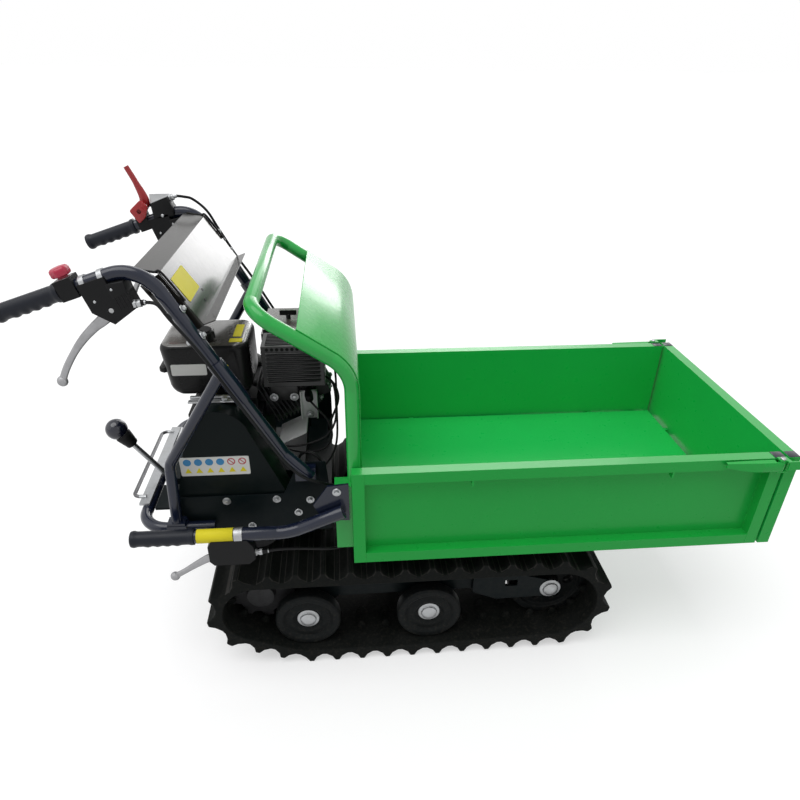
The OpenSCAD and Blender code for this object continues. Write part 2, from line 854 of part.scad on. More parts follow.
module gearbox() {
    half = rail_out - rail_w;
    tube_r = 27;
    color("dimgray")
        place()
            difference() {
                union() {
                    block([-sprocket_back - 62, -half, sprocket_z - 65],
                        [-sprocket_back + 62, half, deck_z - deck_t - 4]);
                    rod([-sprocket_back, -track_y + 26, sprocket_z],
                        [-sprocket_back, track_y - 26, sprocket_z], tube_r);
                    rod([gear_pulley[0], -half - 40, gear_pulley[1]], [gear_pulley[0], 0, gear_pulley[1]],
                        24);
                }
                rod([-sprocket_back, -track_y, sprocket_z], [-sprocket_back, track_y, sprocket_z],
                    axle_r + 3 + run_fit);
                rod([gear_pulley[0], -half - 50, gear_pulley[1]], [gear_pulley[0], -20, gear_pulley[1]],
                    10 + run_fit);
            }
}

module drive_belt() {
    count = 64;
    color(rubber_black)
        place()
            side_plate(-pulley_y - belt_w / 2, -pulley_y + belt_w / 2)
                difference() {
                    polygon(loop_outline(belt_wheels, belt_pitch, belt_t / 2, count));
                    polygon(loop_outline(belt_wheels, belt_pitch, -belt_t / 2, count));
                }
}

// A belt pulley round the axis at c with its shaft running in to y_in
module pulley(c, r, shaft_r, y_in) {
    seat = r - belt_t / 2 - 0.5;
    translate(at(c, -pulley_y))
        turned([
            [0, -belt_w / 2 - 5], [r + 4, -belt_w / 2 - 5], [r + 4, -belt_w / 2 - 1.5],
                [seat, -belt_w / 2 - 1.5],
            [seat, belt_w / 2 + 1.5], [r + 4, belt_w / 2 + 1.5], [r + 4, belt_w / 2 + 5],
                [shaft_r, belt_w / 2 + 5],
            [shaft_r, pulley_y - y_in], [0, pulley_y - y_in]]);
}

module drive_pulley() {
    color("gray")
        place()
            pulley(crank, pulley_r, crank_r, case_y - 55);
}

module gearbox_pulley() {
    color("gray")
        place()
            pulley(gear_pulley, gear_pulley_r, 10, 24);
}

module belt_tensioner() {
    arm_y = -pulley_y + belt_w / 2 + 1.5;
    color("gray")
        place() {
            side_plate(arm_y - 7, arm_y) {
                translate(tensioner_pivot)
                    circle(r = 11);
                translate(belt_side)
                    circle(r = 9);
                polygon([
                    tensioner_pivot + [-9, 0], tensioner_pivot + [9, 0], belt_side + [7, 0],
                        belt_side + [-7, 0]]);
            }
            rod(at(tensioner_pivot, arm_y + 20), at(tensioner_pivot, arm_y - 7), 5.95);
            translate(at(belt_side, -pulley_y - belt_w / 2))
                turned([[0, 0], [tensioner_r, 0], [tensioner_r, belt_w - 8], [8, belt_w - 8], [8, belt_w],
                    [0, belt_w]]);
        }
}

// The track frame on the right, between its roller discs
module track_frame() {
    fork_back = idler_x - 190;
    difference() {
        union() {
            block([-roller_back - 20, -track_y - beam_y, beam_low],
                [fork_back + 40, -track_y + beam_y, beam_top]);
            for (x = [-roller_back, roller_ahead]) {
                rod([x, -track_y - disc_in + 1, roller_z], [x, -track_y + disc_in - 1, roller_z],
                    axle_r + 8);
                block([x - 18, -track_y - beam_y, roller_z], [x + 18, -track_y + beam_y, beam_low + weld]);
            }
            for (y = [-fork_y - fork_t, fork_y])
                side_plate(-track_y + y, -track_y + y + fork_t)
                    difference() {
                        union() {
                            polygon([
                                [fork_back, beam_low], [fork_back + 60, idler_z - 26],
                                    [idler_x, idler_z - 24],
                                [idler_x, idler_z + 24], [fork_back + 70, beam_top + 8],
                                    [fork_back, beam_top]]);
                            translate([idler_x, idler_z])
                                circle(r = 24);
                        }
                        polygon([
                            [fork_back + 78, idler_z + 14], [fork_back + 108, idler_z + 14],
                            [fork_back + 108, idler_z + 32], [fork_back + 78, idler_z + 32]]);
                    }
            block([fork_back, -track_y - fork_y - weld, beam_low],
                [fork_back + 40, -track_y + fork_y + weld, beam_top]);
        }
        for (x = [-roller_back, roller_ahead])
            rod([x, -track_out, roller_z], [x, -track_in, roller_z], axle_r);
        rod([idler_x, -track_out, idler_z], [idler_x, -track_in, idler_z], axle_r);
    }
}

module track_frame_right() {
    color(frame_black)
        place()
            track_frame();
}

module track_frame_left() {
    color(frame_black)
        place()
            mirror([0, 1, 0])
                track_frame();
}

// The right-hand rubber track: a closed band with bars across it
module track() {
    length = loop_length(wheels, belt_radii);
    step = length / links;
    outer = band_t / 2;
    waist = outer + lug_h * 0.4;
    bar = [
        [-lug_foot / 2, outer], [-lug_waist / 2, waist], [-lug_tip / 2, outer + lug_h],
        [lug_tip / 2, outer + lug_h], [lug_waist / 2, waist], [lug_foot / 2, outer], [step / 2, outer]];
    side_plate(-track_out, -track_in)
        difference() {
            polygon([
                for (i = [0:links - 1])
                    for (q = bar)
                        on_loop(wheels, belt_radii, (i + 0.5) * step + q[0], q[1])]);
            polygon(loop_outline(wheels, belt_radii, -outer, links * 7));
        }
}

module track_right() {
    color(rubber_black)
        place()
            track();
}

module track_left() {
    color(rubber_black)
        place()
            mirror([0, 1, 0])
                track();
}

// A fixed axle with a washer and a domed bolt at both ends, reaching half each way along Y
module axle(half) {
    turned([
        [0, -half - 11], [8, -half - 9], [12, -half - washer_t], [dome_r + 4, -half - washer_t],
        [dome_r + 4, -half], [axle_r, -half], [axle_r, half], [dome_r + 4, half],
        [dome_r + 4, half + washer_t], [12, half + washer_t], [8, half + 9], [0, half + 11]]);
}

module wheel_axles() {
    color(zinc)
        place()
            both_sides() {
                for (x = [-roller_back, roller_ahead])
                    translate([x, -track_y, roller_z])
                        axle(disc_out - 10);
                translate([idler_x, -track_y, idler_z])
                    axle(fork_y + fork_t);
                rod([pivot_x, -rail_out - ear_t - 6, pivot_z],
                    [pivot_x, -bed_rail_out + bed_rail_w + 4, pivot_z], pivot_r);
            }
}

// A pair of dished roller discs on one axle line
module roller() {
    rim_r = roller_d / 2;
    for (side = [0, 1])
        mirror([0, side, 0])
            turned([
                [axle_r + run_fit, disc_in], [rim_r - 6, disc_in], [rim_r, disc_in + 5],
                    [rim_r, disc_out - 4],
                [rim_r - 4, disc_out], [rim_r - 16, disc_out], [rim_r - 24, disc_out - 7],
                [36, disc_out - 3], [28, disc_out - 10.3], [axle_r + run_fit, disc_out - 10.3]]);
}

module roller_at(x, side) {
    color([0.13, 0.14, 0.14])
        place()
            translate([x, side * track_y, roller_z])
                roller();
}
module roller_rear_right() {
    roller_at(-roller_back, -1);
}
module roller_front_right() {
    roller_at(roller_ahead, -1);
}
module roller_rear_left() {
    roller_at(-roller_back, 1);
}
module roller_front_left() {
    roller_at(roller_ahead, 1);
}

module idler() {
    r = idler_d / 2;
    holes = 6;
    difference() {
        turned([
            [axle_r + run_fit, -fork_y + slip], [26, -fork_y + slip], [26, -7], [r - 18, -7],
                [r - 14, -15], [r, -15],
            [r, 15], [r - 14, 15], [r - 18, 7], [26, 7], [26, fork_y - slip],
                [axle_r + run_fit, fork_y - slip]]);
        for (i = [0:holes - 1])
            rotate([0, i * 360 / holes, 0])
                rod([52, -20, 0], [52, 20, 0], 13);
    }
}
module idler_at(side) {
    color([0.13, 0.14, 0.14])
        place()
            translate([idler_x, side * track_y, idler_z])
                idler();
}
module idler_right() {
    idler_at(-1);
}
module idler_left() {
    idler_at(1);
}

// A sprocket with its half shaft, for the right side
module sprocket() {
    shaft_r = axle_r + 3;
    translate([-sprocket_back, 0, sprocket_z]) {
        difference() {
            translate([0, -track_y, 0])
                turned([
                    [0, -30], [32, -30], [32, -13], [sprocket_r, -13], [sprocket_r, 13], [38, 13],
                        [38, 24], [0, 24]]);
            for (i = [0:teeth - 1])
                rotate([0, (i + 0.5) * 360 / teeth, 0])
                    rod([sprocket_r + 3, -track_out, 0], [sprocket_r + 3, 0, 0], 17);
        }
        rod([0, -track_y, 0], [0, -3, 0], shaft_r);
    }
}
module sprocket_right() {
    color([0.16, 0.16, 0.17])
        place()
            sprocket();
}
module sprocket_left() {
    color([0.16, 0.16, 0.17])
        place()
            mirror([0, 1, 0])
                sprocket();
}

// Places of the hand controls, measured along the hand part of a bar from the grip's end
lever_clamp_d = 190;
lever_pivot_h = -52;
lever_w = 11;
house_half = 19;
adjuster_y = bar_y + 13;
adjuster_end = on_bar(lever_clamp_d + 56, -58);

// The moulded bracket of a hand lever on the right bar
module lever_house() {
    slot = lever_w / 2 + slip;
    difference() {
        union() {
            side_plate(-bar_y - house_half, -bar_y + house_half)
                polygon([
                    on_bar(lever_clamp_d - 32, bar_r + 4), on_bar(lever_clamp_d + 16, bar_r + 4),
                    on_bar(lever_clamp_d + 16, -bar_r - 6), on_bar(lever_clamp_d + 40, -bar_r - 18),
                    on_bar(lever_clamp_d + 40, -62), on_bar(lever_clamp_d - 6, -76),
                        on_bar(lever_clamp_d - 32, -46)]);
            rod(at(on_bar(lever_clamp_d + 30, -54), -adjuster_y), at(adjuster_end, -adjuster_y), 5);
        }
        rod(at(on_bar(0, 0), -bar_y), at(on_bar(300, 0), -bar_y), bar_r);
        side_plate(-bar_y - slot, -bar_y + slot)
            polygon([
                on_bar(lever_clamp_d - 60, -26), on_bar(lever_clamp_d + 26, -26),
                    on_bar(lever_clamp_d + 30, -60),
                on_bar(lever_clamp_d + 8, -90), on_bar(lever_clamp_d - 60, -90)]);
    }
    rod(at(on_bar(lever_clamp_d, lever_pivot_h), -bar_y - house_half + 1),
        at(on_bar(lever_clamp_d, lever_pivot_h), -bar_y + house_half - 1), lever_pin_r);
}

// A curved hand lever in the plane y = 0, round its pivot at the origin
lever_curve = [[-2, 4], [-26, -17], [-46, -32], [-70, -54], [-92, -80], [-112, -109], [-125, -134]];
lever_t = 11;
lever_pin_r = 4;
module hand_lever(curve) {
    edge = spline(curve, 3);
    last = len(edge) - 1;
    difference() {
        union() {
            side_plate(-lever_w / 2, lever_w / 2) {
                circle(r = 11);
                polygon(folded(edge, lever_t));
            }
            translate(at(edge[last] + fold_normal(edge, last) * lever_t / 2, 0))
                turned([[0, -9], [5, -9], [9, -5], [9, 5], [5, 9], [0, 9]]);
        }
        rod([0, -20, 0], [0, 20, 0], lever_pin_r + run_fit);
    }
}

button_d = 138;
button_r = 17;
button_h = 16;
button_stem = 9;
button_floor = bar_r + 0.8;
switch_top = bar_r + 6.5;
module stop_switch_base() {
    difference() {
        side_plate(-bar_y - 17, -bar_y + 17)
            polygon([
                on_bar(button_d - 15, -bar_r - 3), on_bar(button_d + 16, -bar_r - 3),
                on_bar(button_d + 16, switch_top), on_bar(button_d - 15, switch_top)]);
        rod(at(on_bar(0, 0), -bar_y), at(on_bar(300, 0), -bar_y), bar_r);
        rod(at(on_bar(button_d, button_floor), -bar_y), at(on_bar(button_d, 50), -bar_y),
            button_stem + 0.4);
    }
}

module controls_right() {
    color(rubber_black)
        place() {
            lever_house();
            stop_switch_base();
        }
}

clutch_pivot_d = 150;
clutch_pivot_h = 28;
clutch_end = on_bar(215, 33);
module controls_left() {
    color(rubber_black)
        place()
            mirror([0, 1, 0]) {
                lever_house();
                difference() {
                    union() {
                        side_plate(-bar_y - 17, -bar_y + 17)
                            polygon([
                                on_bar(132, -bar_r - 3), on_bar(157, -bar_r - 3), on_bar(157, 40),
                                    on_bar(143, 40),
                                on_bar(132, bar_r + 4)]);
                        rod(at(on_bar(150, 30), -bar_y - 12), at(clutch_end, -bar_y - 12), 4.5);
                    }
                    rod(at(on_bar(0, 0), -bar_y), at(on_bar(300, 0), -bar_y), bar_r);
                    side_plate(-bar_y - 6.5, -bar_y + 6.5)
                        polygon([
                            on_bar(126, 14), on_bar(170, 14), on_bar(170, 60), on_bar(126, 60)]);
                }
                rod(at(on_bar(clutch_pivot_d, clutch_pivot_h), -bar_y - 16),
                    at(on_bar(clutch_pivot_d, clutch_pivot_h), -bar_y + 16), 4);
            }
}

module steering_lever_right() {
    color(lever_silver)
        place()
            translate(at(on_bar(lever_clamp_d, lever_pivot_h), -bar_y))
                hand_lever(lever_curve);
}
module steering_lever_left() {
    color(lever_silver)
        place()
            translate(at(on_bar(lever_clamp_d, lever_pivot_h), bar_y))
                hand_lever(lever_curve);
}

module clutch_lever() {
    base = on_bar(clutch_pivot_d, clutch_pivot_h);
    top = base + [-16, 92];
    color(signal_red)
        place()
            difference() {
                union() {
                    side_plate(bar_y - 6, bar_y + 6) {
                        translate(base)
                            circle(r = 12);
                        polygon([
                            base + [-12, -2], base + [12, 2], base + [14, 26], base + [4, 40],
                                top + [9, 0], top + [-9, 2],
                            base + [-16, 34]]);
                    }
                    rod(at(top, bar_y - 6), at(top, bar_y + 6), 9);
                }
                rod(at(base, bar_y - 20), at(base, bar_y + 20), 4 + run_fit);
            }
}

button_stroke = 3;
module stop_button() {
    seat = button_floor + button_stroke + 0.3;
    head = switch_top + button_stroke + 0.3;
    color(signal_red)
        place() {
            rod(at(on_bar(button_d, seat), -bar_y), at(on_bar(button_d, head + 1), -bar_y), button_stem);
            rod(at(on_bar(button_d, head), -bar_y), at(on_bar(button_d, head + button_h), -bar_y),
                button_r);
        }
}

// Routes of the control cables, chosen by hand
// A point beside the sloping part of a bar, s down from its corner and h in front of its axis
function beside_bar(s, h, y) = at(bar_corner + drop_dir * s + drop_up * h, y);
function mirrored(route) = [for (p = route) [p[0], -p[1], p[2]]];
deck_end = deck_z + 0.3;
right_route = [
    at(adjuster_end, -adjuster_y), [-316, -262, 876], [-298, -268, 852], [-258, -268, 790],
        [-214, -267, 708],
    [-172, -266, 630], [-132, -264, 558], [-98, -262, 516], [-58, -254, 492], [-34, -236, 472],
    [-26, -205, 446], [-42, -160, 420], [-52, -140, 404], [-52, -140, deck_end]];
clutch_route = [
    at(clutch_end, bar_y + 12), [-370, 254, 962], [-338, 258, 962], beside_bar(24, 26, 252),
    beside_bar(70, 19, 244), beside_bar(140, 18, bar_y), beside_bar(205, 21, bar_y),
        beside_bar(300, 21, bar_y),
    beside_bar(380, 19, bar_y), [-112, 234, 556], [-100, 206, 530], [-96, 190, 480],
    [-100, 180, 425], [-104, 178, 404], [-104, 178, deck_end]];
loop_route = [
    [-64, -196, deck_end], [-64, -196, 404], [-60, -200, 440], [-58, -200, 480], [-64, -196, 512],
        [-84, -186, 524],
    [-106, -172, 510], [-112, -158, 470], [-104, -146, 425], [-100, -142, 404], [-100, -142, deck_end]];
cable_r = 3;
module control_cables() {
    color(rubber_black)
        place() {
            cable(right_route, cable_r);
            cable(mirrored(right_route), cable_r);
            cable(clutch_route, cable_r);
            cable(loop_route, cable_r);
        }
}

// Side-view places of the bolts on the skirts
skirt_bolts = [[-262, 434], [-216, 366], [-158, 434], [-115, 397], [-88, 429]];
module machine_bolts() {
    color(zinc)
        place()
            both_sides() {
                for (p = skirt_bolts)
                    side_bolt(at(p, -skirt_out), 6);
                for (h = [96, 152])
                    side_bolt(at(bar_corner + drop_dir * h, -bar_y - bar_r), 6);
            }
}

recoil_dir = unit([-78, 0, 68]);
recoil_at = at(crank, case_y + 34) + recoil_dir * recoil_r;
module recoil_handle() {
    color(rubber_black)
        place() {
            rod(recoil_at + recoil_dir * 0.5, recoil_at + recoil_dir * 14, 6);
            rod(recoil_at + recoil_dir * 18 + [0, -25, 0], recoil_at + recoil_dir * 18 + [0, 25, 0], 8);
        }
}

module gear_lever() {
    up = unit(knob_at - lever_bend);
    color(zinc)
        place()
            difference() {
                union() {
                    bent_tube([lever_foot, lever_bend, knob_at], [40], lever_rod);
                    translate(knob_at)
                        rotate([0, acos(up[2]), atan2(up[1], up[0])])
                            rotate_extrude()
                                polygon(knob_profile);
                    rod(lever_foot - [0, lever_hub - slip, 0], lever_foot + [0, lever_hub - slip, 0], 11);
                }
                rod(lever_foot - [0, 30, 0], lever_foot + [0, 30, 0], 5 + run_fit);
            }
}

module bed_floor() {
    color(bed_green)
        place() {
            difference() {
                union() {
                    block([guard_x - guard_r, -floor_half, floor_z - floor_sheet],
                        [floor_front, floor_half, floor_z]);
                    block([guard_x - guard_r, -floor_half, floor_z - weld],
                        [guard_x + guard_r + wall_sheet + sill_lip, floor_half, sill_z]);
                    both_sides() {
                        block([24, -bed_rail_out, bed_rail_z],
                            [floor_front - 20, -bed_rail_out + bed_rail_w, bed_rail_top + weld]);
                        side_plate(-bed_rail_out, -bed_rail_out + bed_rail_w) {
                            translate([pivot_x, pivot_z])
                                circle(r = boss_r);
                            polygon([
                                [pivot_x - boss_r, pivot_z], [pivot_x + boss_r, pivot_z],
                                [pivot_x + boss_r, bed_rail_z + weld],
                                    [pivot_x - boss_r, bed_rail_z + weld]]);
                        }
                        for (x = side_hinges)
                            block([x - knuckle_w / 2, -hinge_y, hinge_z - knuckle_r + 0.5],
                                [x + knuckle_w / 2, -floor_half + 60, floor_z - floor_sheet + weld]);
                        for (x = side_hinges)
                            rod([x - knuckle_w / 2, -hinge_y, hinge_z],
                                [x + knuckle_w / 2, -hinge_y, hinge_z], knuckle_r);
                        block([gate_hinge_x - 80, -gate_hinge_y - knuckle_w / 2, hinge_z - knuckle_r + 0.5],
                            [gate_hinge_x, -gate_hinge_y + knuckle_w / 2, floor_z - floor_sheet + weld]);
                        rod([gate_hinge_x, -gate_hinge_y - knuckle_w / 2, hinge_z],
                            [gate_hinge_x, -gate_hinge_y + knuckle_w / 2, hinge_z], knuckle_r);
                    }
                    for (x = [45, 420, floor_front - 60])
                        block([x, -floor_half + 4, bed_z + 1],
                            [x + 30, floor_half - 4, floor_z - floor_sheet + weld]);
                }
                translate([pivot_x, rail_out, pivot_z])
                    rotate([90, 0, 0])
                        cylinder(r = pivot_r + run_fit, h = 2 * rail_out);
                for (side = [-1, 1]) {
                    rod([-1, side * hinge_y, hinge_z], [bed_l, side * hinge_y, hinge_z], hinge_pin_r);
                    rod([gate_hinge_x, side * (gate_hinge_y - 20), hinge_z],
                        [gate_hinge_x, side * (gate_hinge_y + 20), hinge_z], hinge_pin_r);
                }
            }
        }
}

hinge_pin_l = 44;
module hinge_pins() {
    color(zinc)
        place() {
            for (side = [-1, 1]) {
                for (x = side_hinges)
                    rod([x - hinge_pin_l / 2, side * hinge_y, hinge_z],
                        [x + hinge_pin_l / 2, side * hinge_y, hinge_z], hinge_pin_r);
                rod([gate_hinge_x, side * gate_hinge_y - hinge_pin_l / 2, hinge_z],
                    [gate_hinge_x, side * gate_hinge_y + hinge_pin_l / 2, hinge_z], hinge_pin_r);
            }
        }
}

module hoop_guard() {
    r = guard_r;
    bracket_z = [bed_z + 31, bed_z + 186];
    color(bed_green)
        place() {
            bent_tube([
                [guard_x, -guard_y, sill_z], at(knee, -guard_y), at(crown, -guard_y),
                at(crown, guard_y), at(knee, guard_y), [guard_x, guard_y, sill_z]],
                [guard_knee_bend, guard_corner_bend, guard_corner_bend, guard_knee_bend], r);
            block([-34, -tip_y + 16, bracket_z[0]], [-slip, -guard_y + 10, bracket_z[1]]);
        }
}

module head_board() {
    bottom = [guard_x + guard_r, sill_z];
    turn = atan2(lean[1], lean[0]) - 90;
    out = guard_r + guard_knee_bend;
    centre = knee + [-guard_knee_bend, -guard_knee_bend * tan(turn / 2)];
    steps = 8;
    bend = [for (i = [0:steps]) centre + polar(out, turn * i / steps)];
    start = bend[steps];
    color(bed_green)
        place()
            side_plate(-guard_y, guard_y)
                polygon(folded(concat([bottom], bend, [start + lean * board_slope_l]), -wall_sheet));
}

tip_bend = [-127, tip_z];
tip_root = [-18, 456];
plate_y = tip_y - 16;
plate_t = 5;
module tip_handle() {
    color(frame_black)
        place() {
            bent_tube([
                [-tip_back + 3, -tip_y, tip_z], at(tip_bend, -tip_y), at(tip_root, -tip_y)], [140],
                    tip_d / 2);
            side_plate(-plate_y - plate_t, -plate_y)
                polygon([[-6, 425], [-6, 514], [-48, 510], [-78, 466], [-60, 428]]);
        }
}

tip_grip_l = 125;
module tip_grip() {
    color(rubber_black)
        place()
            grip([-tip_back, -tip_y, tip_z], [1, 0, 0], tip_grip_l, 17, tip_d / 2);
}

tip_pivot = [-276, 358];
tip_house_half = 15;
tip_house_low = 344;
module tip_lever_bracket() {
    slot = lever_w / 2 + slip;
    color(rubber_black)
        place() {
            difference() {
                union() {
                    side_plate(-tip_y - tip_house_half, -tip_y + tip_house_half)
                        polygon([
                            [-284, tip_z - 5], [-214, tip_z - 5], [-202, tip_z - 22], [-200, 356],
                            [-214, tip_house_low], [-284, tip_house_low], [-292, 354], [-292, tip_z - 18]]);
                    rod([-206, -tip_y, 362], [-176, -tip_y, 364], 5);
                }
                rod([-tip_back, -tip_y, tip_z], [0, -tip_y, tip_z], tip_d / 2);
                side_plate(-tip_y - slot, -tip_y + slot)
                    polygon([[-320, 300], [-320, 378], [-262, 378], [-250, 366], [-250, 300]]);
            }
            rod(at(tip_pivot, -tip_y - tip_house_half + 1), at(tip_pivot, -tip_y + tip_house_half - 1), 4);
        }
}

tip_curve = [[-2, 6], [-26, -2], [-52, -17], [-77, -33], [-98, -45]];
module tip_lever() {
    color(lever_silver)
        place()
            translate(at(tip_pivot, -tip_y))
                hand_lever(tip_curve);
}

tip_route = [
    [-176, -305, 364], [-150, -304, 366], [-110, -300, 362], [-70, -290, 350], [-40, -276, 338],
    [-16, -262, 332], [10, -250, 330], [30, -244, 330], [44.7, -240, 330]];
module tip_cable() {
    color(rubber_black)
        place()
            cable(tip_route, 3);
}

// The frame of a wall, lying in x and z with its outer face at y = 0 and its inner face at y = rim
module wall_frame(l, h) {
    difference() {
        block([0, 0, 0], [l, rim, h]);
        block([rim, -1, rim], [l - rim, rim - wall_sheet, h - rim]);
    }
}

latch_z = bed_z + wall_h - rim / 2;
latch_x = side_l - 14;
latch_y = wall_y + 8;
latch_pin_r = 4;
latch_h = 22;
bail_y = 325;

module side_panel() {
    notch = knuckle_r + 0.8;
    difference() {
        union() {
            translate([0, -wall_y, bed_z])
                wall_frame(side_l, wall_h);
            for (x = [bed_l * 0.26, bed_l * 0.71])
                block([x, -wall_y, wall_top - rim - 14], [x + 4, -wall_y + 14, wall_top - rim + weld]);
            for (z = [latch_z - latch_h / 2 - 4, latch_z + latch_h / 2 + 0.5])
                block([latch_x - 8, -wall_y - 14, z], [latch_x + 13, -wall_y + weld, z + 3.5]);
            block([latch_x + 6, -bail_y, latch_z + latch_h / 2 + 0.5],
                [latch_x + 14, -wall_y - 10, latch_z + latch_h / 2 + 4]);
            block([latch_x + 9, -bail_y, latch_z - 5], [bed_l - 2, -bail_y + 3, latch_z + latch_h / 2 + 4]);
            rod([latch_x, -latch_y, latch_z - latch_h / 2 - 2],
                [latch_x, -latch_y, latch_z + latch_h / 2 + 2], latch_pin_r);
        }
        for (x = side_hinges) {
            block([x - knuckle_w / 2 - slip, -hinge_y - notch, bed_z - 1],
                [x + knuckle_w / 2 + slip, -wall_in + 1, hinge_z + notch]);
            rod([x - hinge_pin_l / 2 - slip, -hinge_y, hinge_z],
                [x + hinge_pin_l / 2 + slip, -hinge_y, hinge_z], hinge_pin_r + run_fit);
        }
    }
}

module side_panel_right() {
    color(bed_green)
        place()
            side_panel();
}
module side_panel_left() {
    color(bed_green)
        place()
            mirror([0, 1, 0])
                side_panel();
}

module front_gate() {
    notch = knuckle_r + 0.8;
    color(bed_green)
        place()
            difference() {
                union() {
                    translate([bed_l, -wall_y, bed_z])
                        rotate([0, 0, 90])
                            wall_frame(bed_w, wall_h);
                    for (side = [-1, 1])
                        rod([gate_hinge_x, side * (wall_y - weld), latch_z],
                            [gate_hinge_x, side * (bail_y - 4), latch_z], 5);
                }
                for (side = [-1, 1]) {
                    block([gate_in - 1, side * gate_hinge_y - knuckle_w / 2 - slip, bed_z - 1],
                        [gate_hinge_x + notch, side * gate_hinge_y + knuckle_w / 2 + slip,
                            hinge_z + notch]);
                    rod([gate_hinge_x, side * gate_hinge_y - hinge_pin_l / 2 - slip, hinge_z],
                        [gate_hinge_x, side * gate_hinge_y + hinge_pin_l / 2 + slip, hinge_z],
                            hinge_pin_r + run_fit);
                }
            }
}

module latch() {
    lever_l = 118;
    color(bed_green)
        difference() {
            union() {
                rod([latch_x, -latch_y, latch_z - latch_h / 2],
                    [latch_x, -latch_y, latch_z + latch_h / 2], latch_pin_r + 3);
                block([latch_x - lever_l, -latch_y - 7, latch_z - latch_h / 2],
                    [latch_x, -latch_y - 4, latch_z + latch_h / 2]);
                block([latch_x - lever_l, -latch_y - 7, latch_z + latch_h / 2 - 3],
                    [latch_x - 14, -latch_y + 6, latch_z + latch_h / 2]);
                block([latch_x - lever_l, -latch_y - 7, latch_z - latch_h / 2],
                    [latch_x - 14, -latch_y + 6, latch_z - latch_h / 2 + 3]);
            }
            rod([latch_x, -latch_y, latch_z - latch_h], [latch_x, -latch_y, latch_z + latch_h],
                latch_pin_r + run_fit);
        }
}
module latch_right() {
    place()
        latch();
}
module latch_left() {
    place()
        mirror([0, 1, 0])
            latch();
}

chassis_frame();
engine_deck();
rear_bumper();
gear_gate();
handle_frame();
handlebars();
handle_grips();
console_panel();
belt_cover();
crankcase();
engine_cylinder();
recoil_housing();
fuel_tank();
muffler();
muffler_guard();
air_cleaner();
carburettor();
gearbox();
drive_belt();
track_frame_right();
track_frame_left();
track_right();
track_left();
wheel_axles();
controls_right();
controls_left();
control_cables();
machine_bolts();
recoil_handle();
fuel_cap();
drive_pulley();
gearbox_pulley();
belt_tensioner();
sprocket_right();
sprocket_left();
idler_right();
idler_left();
roller_rear_right();
roller_front_right();
roller_rear_left();
roller_front_left();
steering_lever_right();
steering_lever_left();
clutch_lever();
stop_button();
gear_lever();
bed_floor();
hoop_guard();
head_board();
tip_handle();
tip_grip();
tip_lever_bracket();
tip_lever();
tip_cable();
side_panel_right();
side_panel_left();
front_gate();
latch_right();
latch_left();
hinge_pins();
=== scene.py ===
import json
import math

import bmesh
import bpy
from mathutils import Matrix, Vector


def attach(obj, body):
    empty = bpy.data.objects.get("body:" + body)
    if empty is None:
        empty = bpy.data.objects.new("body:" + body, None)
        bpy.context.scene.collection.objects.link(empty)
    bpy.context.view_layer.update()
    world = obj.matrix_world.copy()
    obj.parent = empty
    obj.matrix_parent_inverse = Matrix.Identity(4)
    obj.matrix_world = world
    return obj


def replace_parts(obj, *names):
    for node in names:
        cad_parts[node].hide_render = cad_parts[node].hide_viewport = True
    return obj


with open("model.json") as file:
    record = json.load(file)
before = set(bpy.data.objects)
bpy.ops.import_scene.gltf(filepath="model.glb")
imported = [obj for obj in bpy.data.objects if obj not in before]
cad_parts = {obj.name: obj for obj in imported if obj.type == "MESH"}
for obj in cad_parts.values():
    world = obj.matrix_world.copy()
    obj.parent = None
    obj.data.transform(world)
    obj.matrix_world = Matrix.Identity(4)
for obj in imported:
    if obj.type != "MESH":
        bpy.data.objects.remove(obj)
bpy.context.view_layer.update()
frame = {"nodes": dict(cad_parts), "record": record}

nodes = frame["nodes"]
bodies = frame["record"]["behaviour"]["bodies"]
bodyOf = {node: body for body, members in bodies.items() for node in members}
xMid = 162.399  # the bed's rear face lies this far behind the middle, in mm
sameSpot = 2e-6  # points closer than this are one, in metres


def place(x, y, z):
    return Vector(((x - xMid) / 1000, y / 1000, z / 1000))


def addObject(name, data):
    made = bpy.data.objects.new(name, data)
    bpy.context.scene.collection.objects.link(made)
    return made


# each name in a table of name lists, with the key it stands under; a star stands for right and left
def byName(table):
    found = {}
    for key, names in table.items():
        for name in names.split():
            for side in ("right", "left") if "*" in name else ("",):
                found[name.replace("*", side)] = key
    return found


# Shader nodes, added to the tree of the socket that they are given

def setInputs(node, values):
    for key, value in values.items():
        node.inputs[key].default_value = value


def feed(value, socket):
    if isinstance(value, (int, float, tuple)):
        socket.default_value = value
    else:
        socket.id_data.links.new(value, socket)


def combine(operation, a, b):
    made = a.id_data.nodes.new("ShaderNodeMath")
    made.operation = operation
    feed(a, made.inputs[0])
    feed(b, made.inputs[1])
    return made.outputs[0]


def plus(a, b):
    return combine("ADD", a, b)


def minus(a, b):
    return combine("SUBTRACT", a, b)


def times(a, b):
    return combine("MULTIPLY", a, b)


def mixColors(amount, a, b, blend="MIX"):
    made = a.id_data.nodes.new("ShaderNodeMix")
    made.data_type = "RGBA"
    made.blend_type = blend
    for i, value in ((0, amount), (6, a), (7, b)):
        feed(value, made.inputs[i])
    return made.outputs[2]


def ramp(value, low, high, lowTo=0.0, highTo=1.0):
    made = value.id_data.nodes.new("ShaderNodeMapRange")
    for i, given in enumerate((value, low, high, lowTo, highTo)):
        feed(given, made.inputs[i])
    return made.outputs[0]


def noise(coords, scale, detail=3.0, rough=0.55):
    made = coords.id_data.nodes.new("ShaderNodeTexNoise")
    setInputs(made, {"Detail": detail, "Roughness": rough})
    feed(coords, made.inputs["Vector"])
    feed(scale, made.inputs["Scale"])
    return made.outputs["Fac"]


